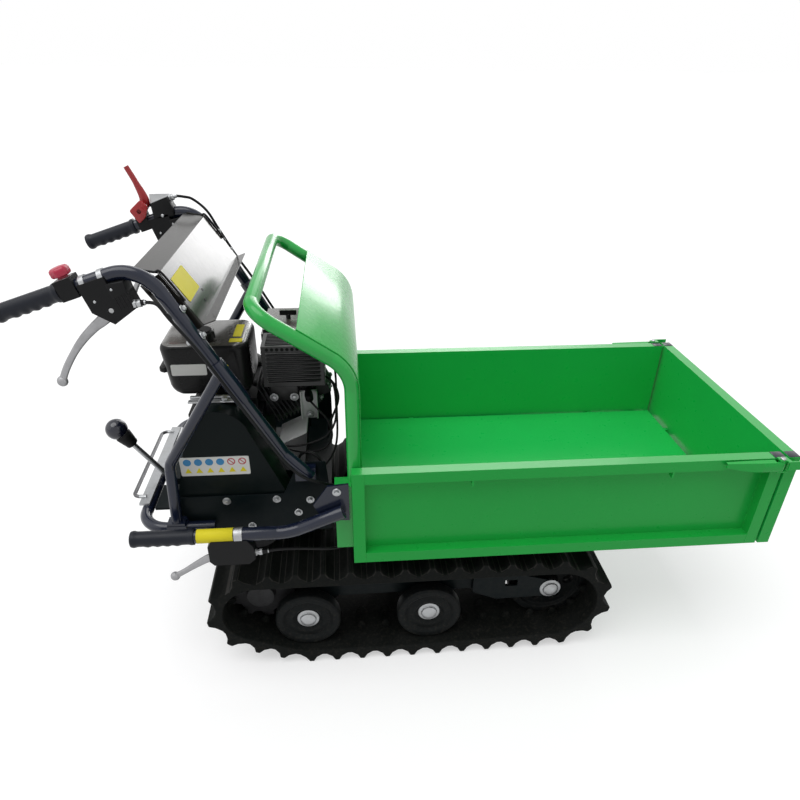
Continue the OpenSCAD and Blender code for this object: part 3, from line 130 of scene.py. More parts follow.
def stretched(coords, scale, turn=(0.0, 0.0, 0.0)):
    made = coords.id_data.nodes.new("ShaderNodeMapping")
    setInputs(made, {"Scale": scale, "Rotation": turn})
    feed(coords, made.inputs["Vector"])
    return made.outputs[0]


def heightOf(coords):
    made = coords.id_data.nodes.new("ShaderNodeSeparateXYZ")
    feed(coords, made.inputs[0])
    return made.outputs["Z"]


# Camera, light and floor

cameraSet = {
    "eye": (-2.33, -1337.4, 1242.56), "yaw": 5.33, "pitch": 31.3, "roll": -0.7, "focalPixels": 642.04,
    "axisRow": 442.98, "frame": 800, "sensor": 36,
}


def makeCamera(s):
    yaw, pitch, roll = (math.radians(s[k]) for k in ("yaw", "pitch", "roll"))
    ahead = Vector((math.sin(yaw) * math.cos(pitch), math.cos(yaw) * math.cos(pitch), -math.sin(pitch)))
    right = Vector((math.cos(yaw), -math.sin(yaw), 0))
    down = ahead.cross(right)
    across = right * math.cos(roll) + down * math.sin(roll)
    under = down * math.cos(roll) - right * math.sin(roll)
    camera = addObject("camera", bpy.data.cameras.new("camera"))
    camera.matrix_world = Matrix((across, -under, -ahead)).transposed().to_4x4()
    camera.location = place(*s["eye"])
    camera.data.lens = s["sensor"] * s["focalPixels"] / s["frame"]
    camera.data.shift_y = (s["axisRow"] - s["frame"] / 2) / s["frame"]
    bpy.context.scene.camera = camera


# each lamp is a wide soft sun: the direction it comes from, its strength and its spread
lightSet = {
    "skyKey": ((-0.28, -0.16, 1.0), 1.65, 50),
    "rearFill": ((-0.9, -0.15, 0.6), 0.40, 60),
    "frontFill": ((0.9, -0.3, 0.6), 0.25, 60),
    "farSky": ((0.13, 0.75, 0.50), 0.40, 32),
    "farGlow": ((0.19, 0.97, 0.13), 0.42, 20),
}
lampDistance = 3


def makeLights(lamps):
    for name, (source, strength, spread) in lamps.items():
        lamp = bpy.data.lights.new(name, "SUN")
        lamp.energy = strength
        lamp.angle = math.radians(spread)
        holder = addObject(name, lamp)
        holder.rotation_euler = (-Vector(source)).to_track_quat("-Z", "Y").to_euler()
        holder.location = Vector(source) * lampDistance


# 1 for what the camera sees, straight on, in a mirror or through glass
def seenMask(tree):
    rays = tree.nodes.new("ShaderNodeLightPath").outputs
    mask = rays["Is Camera Ray"]
    for kind in ("Is Glossy Ray", "Is Transmission Ray"):
        mask = combine("MAXIMUM", mask, rays[kind])
    return mask


worldSet = {"ambient": 0.38, "tint": (0.97, 0.98, 1.0, 1), "seen": (1, 1, 1, 1)}


def makeWorld(s):
    world = bpy.data.worlds.new("studio")
    bpy.context.scene.world = world
    world.use_nodes = True
    tree = world.node_tree
    tree.nodes.clear()
    soft = tree.nodes.new("ShaderNodeBackground")
    setInputs(soft, {"Color": s["tint"], "Strength": s["ambient"]})
    white = tree.nodes.new("ShaderNodeBackground")
    setInputs(white, {"Color": s["seen"]})
    mix = tree.nodes.new("ShaderNodeMixShader")
    out = tree.nodes.new("ShaderNodeOutputWorld")
    for i, value in enumerate((seenMask(tree), soft.outputs[0], white.outputs[0])):
        feed(value, mix.inputs[i])
    feed(mix.outputs[0], out.inputs[0])


floorSet = {
    "size": 60, "drop": 0.0005, "lift": 0.50,
    "shader": {"Base Color": (0.56, 0.56, 0.56, 1), "Roughness": 0.9, "Specular IOR Level": 0.1,
               "Emission Color": (1, 1, 1, 1)},
}


def makeFloor(s):
    bm = bmesh.new()
    bmesh.ops.create_grid(bm, x_segments=1, y_segments=1, size=s["size"])
    bmesh.ops.translate(bm, vec=(0, 0, -s["drop"]), verts=bm.verts)
    mesh = bpy.data.meshes.new("floor")
    bm.to_mesh(mesh)
    bm.free()
    floor = addObject("floor", mesh)
    mat = bpy.data.materials.new("paleFloor")
    mat.use_nodes = True
    shader = mat.node_tree.nodes["Principled BSDF"]
    setInputs(shader, s["shader"])
    feed(times(seenMask(mat.node_tree), s["lift"]), shader.inputs["Emission Strength"])
    mesh.materials.append(mat)


makeCamera(cameraSet)
makeLights(lightSet)
makeWorld(worldSet)
makeFloor(floorSet)
bpy.context.scene.view_settings.view_transform = "Standard"
print("camera, light and floor made")


# Shader groups shared by the finishes

def newGroup(name, ins):
    tree = bpy.data.node_groups.new(name, "ShaderNodeTree")
    for label, start in ins.items():
        kind = "NodeSocketColor" if isinstance(start, tuple) else "NodeSocketFloat"
        tree.interface.new_socket(label, in_out="INPUT", socket_type=kind).default_value = start
    for label, kind in (("Color", "Color"), ("Roughness", "Float"), ("Height", "Float")):
        tree.interface.new_socket(label, in_out="OUTPUT", socket_type="NodeSocket" + kind)
    given = tree.nodes.new("NodeGroupInput").outputs
    result = tree.nodes.new("NodeGroupOutput").inputs
    return tree, given, result, tree.nodes.new("ShaderNodeTexCoord").outputs["Object"]


# paint: clouding, scratches, dust that settles low down, orange peel
def makeCoatGroup():
    tree, given, result, coords = newGroup("coatSkin", {
        "Tone": (0.1, 0.1, 0.1, 1), "Worn": (0.2, 0.2, 0.2, 1), "Cloud": 0.08, "Scuffs": 0.2, "Dust": 0.2,
        "Gloss": 0.25, "Peel": 700.0})
    fine = noise(coords, 60.0, 4.0)
    shade = times(times(minus(noise(coords, 7.0), 0.5), given["Cloud"]), 2.0)
    gray = tree.nodes.new("ShaderNodeCombineColor")
    for socket in gray.inputs[:3]:
        feed(plus(shade, 1.0), socket)
    tone = mixColors(1.0, given["Tone"], gray.outputs[0], "MULTIPLY")
    scratch = noise(stretched(coords, (1.0, 6.0, 9.0), (0.3, 0.5, 0.2)), 45.0, 6.0, 0.7)
    spread = ramp(noise(coords, 4.0), 0.5, 0.7)
    marks = times(times(ramp(scratch, 0.66, 0.74), spread), given["Scuffs"])
    tone = mixColors(marks, tone, given["Worn"])
    low = ramp(heightOf(coords), 0.0, 0.55, 1.0, 0.12)
    dusty = times(times(low, ramp(fine, 0.35, 0.75)), given["Dust"])
    feed(mixColors(dusty, tone, (0.20, 0.175, 0.14, 1)), result["Color"])
    rough = plus(plus(given["Gloss"], times(fine, 0.10)), times(dusty, 0.5))
    feed(plus(rough, times(marks, 0.25)), result["Roughness"])
    feed(minus(noise(coords, given["Peel"], 2.0), times(marks, 0.6)), result["Height"])
    return tree


# rubber and moulded plastic: chalky bloom, specks of soil, pebbled grain
def makeGrainGroup():
    tree, given, result, coords = newGroup("moldedGrain", {
        "Tone": (0.02, 0.02, 0.02, 1), "Chalk": (0.12, 0.12, 0.115, 1), "Grain": 900.0, "Bloom": 0.25,
        "Dust": 0.2, "Base": 0.5})
    bloom = ramp(noise(coords, 16.0, 5.0, 0.6), 0.42, 0.78)
    tone = mixColors(times(bloom, given["Bloom"]), given["Tone"], given["Chalk"])
    low = ramp(heightOf(coords), 0.0, 0.4, 1.0, 0.1)
    specks = ramp(noise(coords, 130.0, 4.0, 0.7), 0.5, 0.72)
    dusty = times(times(low, specks), given["Dust"])
    feed(mixColors(dusty, tone, (0.19, 0.165, 0.13, 1)), result["Color"])
    rough = plus(given["Base"], times(bloom, 0.18))
    feed(plus(rough, times(dusty, 0.3)), result["Roughness"])
    cells = tree.nodes.new("ShaderNodeTexVoronoi")
    feed(coords, cells.inputs["Vector"])
    feed(given["Grain"], cells.inputs["Scale"])
    pebble = noise(coords, given["Grain"], 2.0)
    feed(plus(pebble, times(cells.outputs["Distance"], 0.5)), result["Height"])
    return tree


# bare and plated metal: stains and drawn lines
def makeMetalGroup():
    tree, given, result, coords = newGroup("bareMetal", {
        "Tone": (0.6, 0.6, 0.6, 1), "Stain": (0.3, 0.28, 0.25, 1), "Stains": 0.3, "Brush": 250.0,
        "Base": 0.3})
    blotch = ramp(noise(coords, 35.0, 5.0, 0.65), 0.45, 0.75)
    feed(mixColors(times(blotch, given["Stains"]), given["Tone"], given["Stain"]), result["Color"])
    brushed = noise(stretched(coords, (0.15, 1.0, 1.0)), given["Brush"], 3.0, 0.6)
    rough = plus(given["Base"], times(blotch, 0.2))
    feed(plus(rough, times(brushed, 0.12)), result["Roughness"])
    feed(brushed, result["Height"])
    return tree


# a row has its group's values in order, then bump strength and depth, metallic, clear coat and specular
def newFinish(name, group, row):
    *values, strength, depth, metallic, coat, specular = row
    mat = bpy.data.materials.new(name)
    mat.use_nodes = True
    tree = mat.node_tree
    shader = tree.nodes["Principled BSDF"]
    skin = tree.nodes.new("ShaderNodeGroup")
    skin.node_tree = group
    for socket, value in zip(skin.inputs, values):
        socket.default_value = (*value, 1) if isinstance(value, tuple) else value
    relief = tree.nodes.new("ShaderNodeBump")
    setInputs(relief, {"Strength": strength, "Distance": depth})
    feed(skin.outputs["Color"], shader.inputs["Base Color"])
    feed(skin.outputs["Roughness"], shader.inputs["Roughness"])
    feed(skin.outputs["Height"], relief.inputs["Height"])
    feed(relief.outputs["Normal"], shader.inputs["Normal"])
    setInputs(shader, {"Metallic": metallic, "Coat Weight": coat, "Coat Roughness": 0.12,
                       "Specular IOR Level": specular})
    return mat


# tone, worn tone, clouding, scuffs, dust, gloss, peel
coatRows = {
    "bedGreen": ((0.012, 0.39, 0.056), (0.04, 0.5, 0.1),
                 0.05, 0.1, 0.03, 0.24, 420, 0.04, 0.0006, 0, 0, 0.2),
    "guardGreen": ((0.013, 0.39, 0.058), (0.04, 0.48, 0.1),
                   0.05, 0.1, 0.03, 0.2, 420, 0.04, 0.0006, 0, 0.2, 0.35),
    "headGreen": ((0.02, 0.39, 0.062), (0.05, 0.48, 0.1),
                  0.05, 0.08, 0.03, 0.22, 420, 0.012, 0.0004, 0, 0.12, 0.3),
    # a lighter copy of the bed green for the floor's top and the walls' inner faces: painted bounce light
    # inside the bed
    "insideGreenPaintedBounce": ((0.015, 0.48, 0.085), (0.05, 0.56, 0.13),
                    0.05, 0.12, 0.03, 0.24, 420, 0.04, 0.0006, 0, 0, 0.25),
    # a lighter, glossier copy of the bed green for the rims' tops: a painted sheen
    "rimGreenPaintedSheen": ((0.016, 0.4, 0.062), (0.05, 0.5, 0.11),
                 0.05, 0.1, 0.03, 0.26, 420, 0.04, 0.0006, 0, 0.3, 0.5),
    "tubeBlack": ((0.0055, 0.0095, 0.026), (0.03, 0.038, 0.06),
                  0.1, 0.15, 0.05, 0.16, 500, 0.05, 0.0005, 0, 0.3, 0.3),
    "plateBlack": ((0.004, 0.008, 0.0092), (0.025, 0.03, 0.034),
                   0.1, 0.15, 0.05, 0.28, 500, 0.05, 0.0005, 0, 0, 0.08),
    "engineBlack": ((0.006, 0.0066, 0.0068), (0.04, 0.04, 0.04),
                    0.1, 0.12, 0.06, 0.36, 900, 0.1, 0.0006, 0, 0, 0.12),
    "guardBlack": ((0.006, 0.0066, 0.0068), (0.04, 0.04, 0.04),
                   0.1, 0.12, 0.06, 0.28, 900, 0.08, 0.0006, 0, 0, 0.4),
    "coverBlack": ((0.0042, 0.0078, 0.008), (0.03, 0.034, 0.034),
                   0.08, 0.14, 0.04, 0.26, 600, 0.06, 0.0005, 0, 0, 0.08),
    "consoleGloss": ((0.014, 0.0125, 0.01), (0.05, 0.05, 0.045),
                     0.08, 0.1, 0, 0.14, 300, 0.03, 0.0005, 0, 0.15, 0.3),
    "labelWhite": ((0.72, 0.72, 0.69), (0.5, 0.5, 0.47),
                   0.05, 0.25, 0.05, 0.3, 800, 0.03, 0.0003, 0, 0, 0.3),
    "labelBlue": ((0.04, 0.24, 0.5), (0.1, 0.28, 0.46),
                  0.05, 0.15, 0.03, 0.3, 800, 0.03, 0.0003, 0, 0, 0.3),
    "labelRed": ((0.48, 0.04, 0.06), (0.45, 0.1, 0.1), 0.05, 0.15, 0.03, 0.3, 800, 0.03, 0.0003, 0, 0, 0.3),
    "labelYellow": ((0.76, 0.66, 0.03), (0.62, 0.54, 0.08),
                    0.05, 0.25, 0.05, 0.4, 800, 0.03, 0.0003, 0, 0, 0.1),
}
# tone, chalky tone, grain, bloom, dust, roughness
grainRows = {
    "tankPlastic": ((0.0075, 0.0075, 0.0078), (0.03, 0.03, 0.03),
                    1500, 0.1, 0.03, 0.26, 0.06, 0.0004, 0, 0, 0.15),
    # a light grey, glossy copy of the tank plastic for upward faces: a painted sheen
    "tankTopPaintedSheen": ((0.085, 0.079, 0.068), (0.1, 0.095, 0.085), 1500, 0.04, 0, 0.2, 0.04, 0.0003, 0, 0.6, 0.6),
    "blackPlastic": ((0.006, 0.0062, 0.0068), (0.03, 0.03, 0.03),
                     1200, 0.12, 0.04, 0.4, 0.18, 0.0005, 0, 0, 0.16),
    "trackRubber": ((0.0045, 0.0055, 0.005), (0.02, 0.021, 0.02),
                    420, 0.4, 0.08, 0.62, 0.35, 0.0012, 0, 0, 0.07),
    # a lighter rubber for lug edges on the upper run: partly wear, partly a painted highlight
    "lugWearAndHighlight": ((0.026, 0.025, 0.023), (0.01, 0.01, 0.009), 420, 0.7, 0.08, 0.6, 0.35, 0.0012, 0, 0, 0.12),
    "gripRubber": ((0.005, 0.007, 0.013), (0.018, 0.02, 0.03),
                   1600, 0.2, 0, 0.38, 0.25, 0.0005, 0, 0, 0.25),
    "wheelPlastic": ((0.0055, 0.0068, 0.007), (0.022, 0.025, 0.025),
                     800, 0.25, 0.1, 0.45, 0.15, 0.0006, 0, 0, 0.08),
    "knobGloss": ((0.0058, 0.0075, 0.019), (0.02, 0.022, 0.035), 600, 0.1, 0, 0.1, 0.02, 0.0003, 0, 0, 0.6),
    "signalRed": ((0.4, 0.014, 0.018), (0.48, 0.04, 0.04), 1400, 0.2, 0, 0.24, 0.08, 0.0004, 0, 0, 0.5),
    "knobRed": ((0.46, 0.012, 0.05), (0.54, 0.04, 0.08), 1400, 0.2, 0, 0.24, 0.08, 0.0004, 0, 0, 0.5),
}
# tone, stained tone, stains, drawn lines, roughness
metalRows = {
    "leverSilver": ((0.36, 0.36, 0.37), (0.24, 0.24, 0.24), 0.3, 300, 0.36, 0.06, 0.0004, 0.8, 0, 0.5),
    "zincSteel": ((0.4, 0.41, 0.42), (0.25, 0.24, 0.22), 0.35, 420, 0.32, 0.08, 0.0004, 1, 0, 0.5),
    "brightPlate": ((0.62, 0.62, 0.62), (0.44, 0.44, 0.43), 0.3, 260, 0.42, 0.06, 0.0004, 0.3, 0, 0.5),
    "wireSteel": ((0.13, 0.13, 0.135), (0.07, 0.07, 0.07), 0.35, 420, 0.28, 0.06, 0.0004, 0.9, 0, 0.5),
    "castMetal": ((0.03, 0.03, 0.032), (0.015, 0.015, 0.015), 0.5, 600, 0.5, 0.2, 0.0008, 0.5, 0, 0.5),
}
finishes = {}
families = ((makeCoatGroup(), coatRows), (makeGrainGroup(), grainRows), (makeMetalGroup(), metalRows))
for group, rows in families:
    finishes.update({name: newFinish(name, group, row) for name, row in rows.items()})
print("finishes made:", len(finishes))


# Shapes made with bmesh operators, from sizes in mm

def newPiece(name, bm, finish, body="chassis", smooth=35, shaded=False):
    if not shaded:
        bmesh.ops.remove_doubles(bm, verts=bm.verts, dist=sameSpot)
        bmesh.ops.recalc_face_normals(bm, faces=bm.faces)
        for face in bm.faces:
            face.smooth = True
    rounded = [face.smooth for face in bm.faces]
    mesh = bpy.data.meshes.new(name)
    bm.to_mesh(mesh)
    bm.free()
    mesh.set_sharp_from_angle(angle=math.radians(smooth))
    mesh.polygons.foreach_set("use_smooth", rounded)
    piece = addObject(name, mesh)
    mesh.materials.append(finishes[finish])
    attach(piece, body)
    return piece


def bevelEdges(bm, edges, radius, segments):
    return bmesh.ops.bevel(bm, geom=edges, offset=radius / 1000, offset_type="OFFSET", affect="EDGES",
                           segments=segments, profile=0.5, material=-1, clamp_overlap=True)


def joinInto(bm, part):
    mesh = bpy.data.meshes.new("part")
    part.to_mesh(mesh)
    part.free()
    bm.from_mesh(mesh)
    bpy.data.meshes.remove(mesh)


def vertsIn(geom):
    return [v for v in geom if isinstance(v, bmesh.types.BMVert)]


def edgesIn(geom):
    return [e for e in geom if isinstance(e, bmesh.types.BMEdge)]


def edgesOver(bm, angle):
    return [e for e in bm.edges if e.calc_face_angle(0) > angle]


def edgeSpan(e, axis):
    return abs(e.verts[0].co[axis] - e.verts[1].co[axis])


# a block about the origin, and the middle that it is to have
def newBlock(low, high):
    a, b = place(*low), place(*high)
    part = bmesh.new()
    bmesh.ops.create_cube(part, size=1)
    bmesh.ops.scale(part, vec=b - a, verts=part.verts)
    return part, (a + b) / 2


# a block between two corners; corner rounds edges along one axis first, edge rounds all that stay sharp
def addBox(bm, low, high, edge=0.0, segments=2, corner=None, turn=None):
    part, middle = newBlock(low, high)
    if corner:
        axis, radius = corner
        along = [e for e in part.edges if abs((e.verts[0].co - e.verts[1].co).normalized()[axis]) > 0.9]
        bevelEdges(part, along, radius, 4)
    if edge:
        bevelEdges(part, edgesOver(part, 0.6), edge, segments)
    if turn:
        bmesh.ops.rotate(part, cent=(0, 0, 0), matrix=turn, verts=part.verts)
    bmesh.ops.translate(part, vec=middle, verts=part.verts)
    joinInto(bm, part)


def cornersAt(at, half):
    return tuple(a - b for a, b in zip(at, half)), tuple(a + b for a, b in zip(at, half))


def boxPiece(name, finish, boxes, body="chassis", smooth=35, **shape):
    bm = bmesh.new()
    for low, high in boxes:
        addBox(bm, low, high, **shape)
    return newPiece(name, bm, finish, body, smooth)


# a turned piece: radius and distance pairs along an axis from a point
def addTurned(bm, profile, at, axis, steps=32, closed=False):
    part = bmesh.new()
    centre = place(*at)
    along = Vector(axis).normalized()
    side = along.orthogonal().normalized()
    verts = [part.verts.new(centre + along * d / 1000 + side * r / 1000) for r, d in profile]
    ends = verts[1:] + verts[:1] if closed else verts[1:]
    edges = [part.edges.new(pair) for pair in zip(verts, ends)]
    bmesh.ops.spin(part, geom=verts + edges, cent=centre, axis=along, angle=2 * math.pi, steps=steps,
                   use_merge=True)
    bmesh.ops.remove_doubles(part, verts=part.verts, dist=sameSpot)
    bmesh.ops.recalc_face_normals(part, faces=part.faces)
    joinInto(bm, part)


def turnedPiece(name, finish, profile, at, axis, steps, body="chassis", smooth=35, closed=False):
    bm = bmesh.new()
    addTurned(bm, profile, at, axis, steps, closed)
    return newPiece(name, bm, finish, body, smooth)


# the section of a ring between two radii and two distances
def ringOf(inner, outer, low, high):
    return [(inner, low), (outer, low), (outer, high), (inner, high)]


# a rod drawn along a path of metres, with its half width and half thickness in mm at each point
def addSwept(bm, path, sizes, sides=14, flat=(0, 1, 0)):
    part = bmesh.new()
    flat = Vector(flat)
    frames = []
    for i, point in enumerate(path):
        ahead = (path[min(i + 1, len(path) - 1)] - path[max(i - 1, 0)]).normalized()
        across = (flat - ahead * flat.dot(ahead)).normalized()
        rise = ahead.cross(across)
        wide, thick = sizes[i]
        turn = Matrix((across * wide / 1000, rise * thick / 1000, ahead)).transposed().to_4x4()
        frames.append(Matrix.Translation(point) @ turn)
    bmesh.ops.create_circle(part, cap_ends=True, segments=sides, radius=1, matrix=frames[0])
    edges = list(part.edges)
    for before, after in zip(frames, frames[1:]):
        made = bmesh.ops.extrude_edge_only(part, edges=edges)["geom"]
        ring = vertsIn(made)
        bmesh.ops.transform(part, matrix=after @ before.inverted(), verts=ring)
        edges = [e for e in edgesIn(made) if all(v in ring for v in e.verts)]
    bmesh.ops.contextual_create(part, geom=edges)
    bmesh.ops.recalc_face_normals(part, faces=part.faces)
    joinInto(bm, part)


# a flat outline of points in metres, made deep along Y
def newPrism(corners, deep):
    part = bmesh.new()
    face = part.faces.new([part.verts.new(at) for at in corners])
    made = bmesh.ops.extrude_face_region(part, geom=[face])["geom"]
    bmesh.ops.translate(part, vec=(0, deep, 0), verts=vertsIn(made))
    return part


# an upright bar with three or more equal sides about the origin
def newNut(sides, r, h):
    part = bmesh.new()
    bmesh.ops.create_cone(part, cap_ends=True, segments=sides, radius1=r / 1000, radius2=r / 1000,
                          depth=h / 1000)
    return part


def turnedTo(axis, at):
    return Matrix.Translation(place(*at)) @ Vector(axis).to_track_quat("Z", "Y").to_matrix().to_4x4()


# a hex head on a washer
def addHexBolt(bm, at, axis, r, h):
    part = newNut(6, r, h)
    bevelEdges(part, [e for e in part.edges if edgeSpan(e, 2) < 1e-7], r * 0.12, 2)
    bmesh.ops.translate(part, vec=(0, 0, (h / 2 + 1.4) / 1000), verts=part.verts)
    bmesh.ops.transform(part, matrix=turnedTo(axis, at), verts=part.verts)
    joinInto(bm, part)
    addTurned(bm, [(0, 0), (r * 1.5, 0), (r * 1.6, 0.4), (r * 1.5, 1.4), (0, 1.6)], at, axis, 24)


def boltPiece(name, bolts, body="chassis"):
    bm = bmesh.new()
    for at, axis, r, h in bolts:
        addHexBolt(bm, at, axis, r, h)
    return newPiece(name, bm, "zincSteel", body)


# points on a smooth curve through points, each stretch cut into a few
def smoothPath(points, cuts=4):
    p = [Vector(q) for q in points]
    path = []
    for i in range(len(p) - 1):
        a, b, c, d = p[max(i - 1, 0)], p[i], p[i + 1], p[min(i + 2, len(p) - 1)]
        for k in range(cuts):
            t = k / cuts
            path.append(0.5 * (2 * b + (c - a) * t + (2 * a - 5 * b + 4 * c - d) * t ** 2
                               + (3 * b - a - 3 * c + d) * t ** 3))
    return path + [p[-1]]


wireCuts = 6


def addWire(name, points, radius, finish, body):
    curve = bpy.data.curves.new(name, "CURVE")
    curve.dimensions = "3D"
    curve.bevel_depth = radius / 1000
    curve.bevel_resolution = 3
    curve.use_fill_caps = True
    path = smoothPath(points, wireCuts)
    spline = curve.splines.new("POLY")
    spline.points.add(len(path) - 1)
    for dot, at in zip(spline.points, path):
        dot.co = (*place(*at), 1)
    spline.use_smooth = True
    curve.materials.append(finishes[finish])
    wire = addObject(name, curve)
    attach(wire, body)
    return wire


# CAD nodes: their finish, and softened copies with rounded edges

finishOf = byName({
    "bedGreen": "bed_floor side_panel_* front_gate latch_*",
    "headGreen": "head_board",
    "guardGreen": "hoop_guard",
    "tubeBlack": "rear_bumper handle_frame handlebars tip_handle",
    "plateBlack": "chassis_frame engine_deck track_frame_*",
    "engineBlack": "crankcase recoil_housing",
    "guardBlack": "muffler_guard",
    "consoleGloss": "console_panel",
    "coverBlack": "belt_cover",
    "tankPlastic": "fuel_tank fuel_cap air_cleaner",
    "blackPlastic": "controls_* tip_lever_bracket recoil_handle control_cables tip_cable",
    "trackRubber": "track_* drive_belt",
    "gripRubber": "handle_grips tip_grip",
    "leverSilver": "steering_lever_* tip_lever",
    "zincSteel": "wheel_axles machine_bolts gear_gate gear_lever hinge_pins",
    "castMetal": "engine_cylinder gearbox muffler carburettor drive_pulley gearbox_pulley belt_tensioner "
                 "sprocket_*",
    "wheelPlastic": "idler_* roller_rear_* roller_front_*",
    "signalRed": "clutch_lever stop_button",
})
for name, finish in finishOf.items():
    nodes[name].data.materials.clear()
    nodes[name].data.materials.append(finishes[finish])

# edge radius in mm and segments, and the nodes that are shown as copies softened by them
softEdges = byName({
    (7, 3): "belt_cover", (6, 3): "air_cleaner", (5, 3): "crankcase", (4, 3): "muffler_guard",
    (4, 2): "gearbox", (3, 3): "recoil_handle", (3, 2): "muffler", (2.5, 2): "carburettor",
    (2.2, 3): "tip_lever_bracket", (2.2, 2): "track_*", (2, 3): "fuel_cap",
    (1.8, 2): "chassis_frame track_frame_*",
    (1.6, 2): "side_panel_* front_gate recoil_housing", (1.5, 3): "console_panel", (1.5, 2): "idler_*",
    (1.2, 2): "tip_handle wheel_axles roller_rear_* roller_front_* sprocket_*", (0.9, 2): "engine_cylinder",
    (1, 2): "bed_floor head_board engine_deck rear_bumper handle_frame",
    (0.8, 2): "latch_* gear_gate hoop_guard drive_pulley gearbox_pulley belt_tensioner gear_lever "
              "handlebars drive_belt hinge_pins",
})

# faces with a finish of their own: how squarely they look one way, their area and their height in metres
faceSet = {"square": 0.9, "wide": 0.02, "rim": 0.535, "upperRun": 0.2, "lugTurn": (0.3, 0.96),
           "lugArea": 0.0012, "wireFrom": place(-463, 0, 0).x}


def onLevelTop(face):
    return face.normal.z > faceSet["square"]


def onRimTop(face):
    return onLevelTop(face) and face.calc_center_median().z > faceSet["rim"]


# the wide inner face of a wall, which looks along an axis or against it; these faces get a lighter green,
# painted bounce light
def insideAlong(axis, way):
    return lambda face: face.normal[axis] * way > faceSet["square"] and face.calc_area() > faceSet["wide"]


# the edges of the lugs on the upper run, painted lighter: partly wear, partly a painted highlight
def onLugEdge(face):
    low, high = faceSet["lugTurn"]
    return (face.calc_center_median().z > faceSet["upperRun"] and low < abs(face.normal.x) < high
            and face.calc_area() < faceSet["lugArea"])


def onGateWire(face):
    return face.calc_center_median().x < faceSet["wireFrom"]


otherFinishes = {
    # the floor's top and the walls' inner faces get a lighter green, painted bounce light
    "bed_floor": [("insideGreenPaintedBounce", onLevelTop)],
    # the rims' tops get a lighter, glossier green, a painted sheen
    "side_panel_right": [("rimGreenPaintedSheen", onRimTop), ("insideGreenPaintedBounce", insideAlong(1, 1))],
    "side_panel_left": [("rimGreenPaintedSheen", onRimTop), ("insideGreenPaintedBounce", insideAlong(1, -1))],
    "front_gate": [("rimGreenPaintedSheen", onRimTop), ("insideGreenPaintedBounce", insideAlong(0, -1))],
    # the air cleaner's top gets a lighter grey, a painted sheen
    "gear_gate": [("wireSteel", onGateWire)], "air_cleaner": [("tankTopPaintedSheen", onLevelTop)],
    # lug edges on the upper run get a lighter grey, partly wear and partly a painted highlight
    "track_right": [("lugWearAndHighlight", onLugEdge)], "track_left": [("lugWearAndHighlight", onLugEdge)],
}
softSet = {"sameSpot": 1e-6, "flat": 0.4, "level": 0.6, "steep": 28, "smooth": 42}


def copyOf(node):
    bm = bmesh.new()
    bm.from_mesh(nodes[node].data)
    bmesh.ops.remove_doubles(bm, verts=bm.verts, dist=softSet["sameSpot"])
    bmesh.ops.dissolve_limit(bm, angle_limit=math.radians(softSet["flat"]), verts=bm.verts, edges=bm.edges)
    return bm


# flat faces that end in sharp edges stay flat, and the rounding between them is smooth
def showSoft(node, bm, radius, segments):
    steep, level = math.radians(softSet["steep"]), math.radians(softSet["level"])
    turns = {e: e.calc_face_angle(0) for e in bm.edges if len(e.link_faces) == 2}
    for face in bm.faces:
        face.smooth = any(level < turns.get(e, 0) < steep for e in face.edges)
    sharp = [e for e, turn in turns.items() if turn >= steep]
    for face in bevelEdges(bm, sharp, radius, segments)["faces"]:
        face.smooth = True
    others = otherFinishes.get(node, ())
    for face in bm.faces:
        face.material_index = next((i for i, (finish, holds) in enumerate(others, 1) if holds(face)), 0)
    piece = newPiece(node + "Soft", bm, finishOf[node], bodyOf[node], softSet["smooth"], shaded=True)
    for finish, holds in others:
        piece.data.materials.append(finishes[finish])
    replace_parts(piece, node)


# a latch's arm thins towards its free end and keeps its top level
latchSet = {"armEnd": 0.62, "tip": 0.45, "tipWide": 0.6, "cuts": 7}


def shapeLatch(bm, s):
    low, high = min(v.co.x for v in bm.verts), max(v.co.x for v in bm.verts)
    arm = s["armEnd"] * (high - low)
    for k in range(1, s["cuts"] + 1):
        spot = low + arm * k / s["cuts"]
        geom = bm.verts[:] + bm.edges[:] + bm.faces[:]
        bmesh.ops.bisect_plane(bm, geom=geom, plane_co=(spot, 0, 0), plane_no=(1, 0, 0))
    outer = [v.co for v in bm.verts if v.co.x < low + arm / 2]
    top = max(at.z for at in outer)
    middle = sum(at.y for at in outer) / len(outer)
    for v in bm.verts:
        share = (v.co.x - low) / arm
        if share < 1:
            thin = s["tip"] + (1 - s["tip"]) * math.sin(share * math.pi / 2)
            v.co.z = top + (v.co.z - top) * thin
            v.co.y = middle + (v.co.y - middle) * (s["tipWide"] + (1 - s["tipWide"]) * share)


for node, (radius, segments) in softEdges.items():
    copy = copyOf(node)
    if node.startswith("latch"):
        shapeLatch(copy, latchSet)
    showSoft(node, copy, radius, segments)
print("softened nodes:", len(softEdges))


# Places along the hand part of a bar, from the grip's end, and above its axis; side is -1 on the right

barSet = {"gripEnd": (-590, 857), "corner": (-338, 938), "drop": -61.5, "y": 240, "radius": 12.5}
barSpan = [b - a for a, b in zip(barSet["gripEnd"], barSet["corner"])]
barRun = Vector((barSpan[0], 0, barSpan[1])).normalized()
barRise = Vector((-barRun.z, 0, barRun.x))
barDrop = (math.cos(math.radians(barSet["drop"])), math.sin(math.radians(barSet["drop"])))
sideNames = {-1: "right", 1: "left"}


def onBar(d, h, side, out=0.0):
    x, z = barSet["gripEnd"]
    return (x + barRun.x * d + barRise.x * h, side * (barSet["y"] + out), z + barRun.z * d + barRise.z * h)


# along the bar's lower part from its corner, and out from its axis
def besideBar(d, h, y):
    x, z = barSet["corner"]
    return (x + barDrop[0] * d - barDrop[1] * h, y, z + barDrop[1] * d + barDrop[0] * h)


# Rubber grips: a flanged end, a waist, and finger ridges underneath

gripSet = {"length": 122, "flange": 17, "waist": 14.6, "ridges": 4, "ridgeDepth": 2.3, "ridgeFrom": 24,
           "ridgeTo": 100}
tipGripSet = {**gripSet, "length": 125, "waist": 15.6, "at": (-441, -305, 410)}


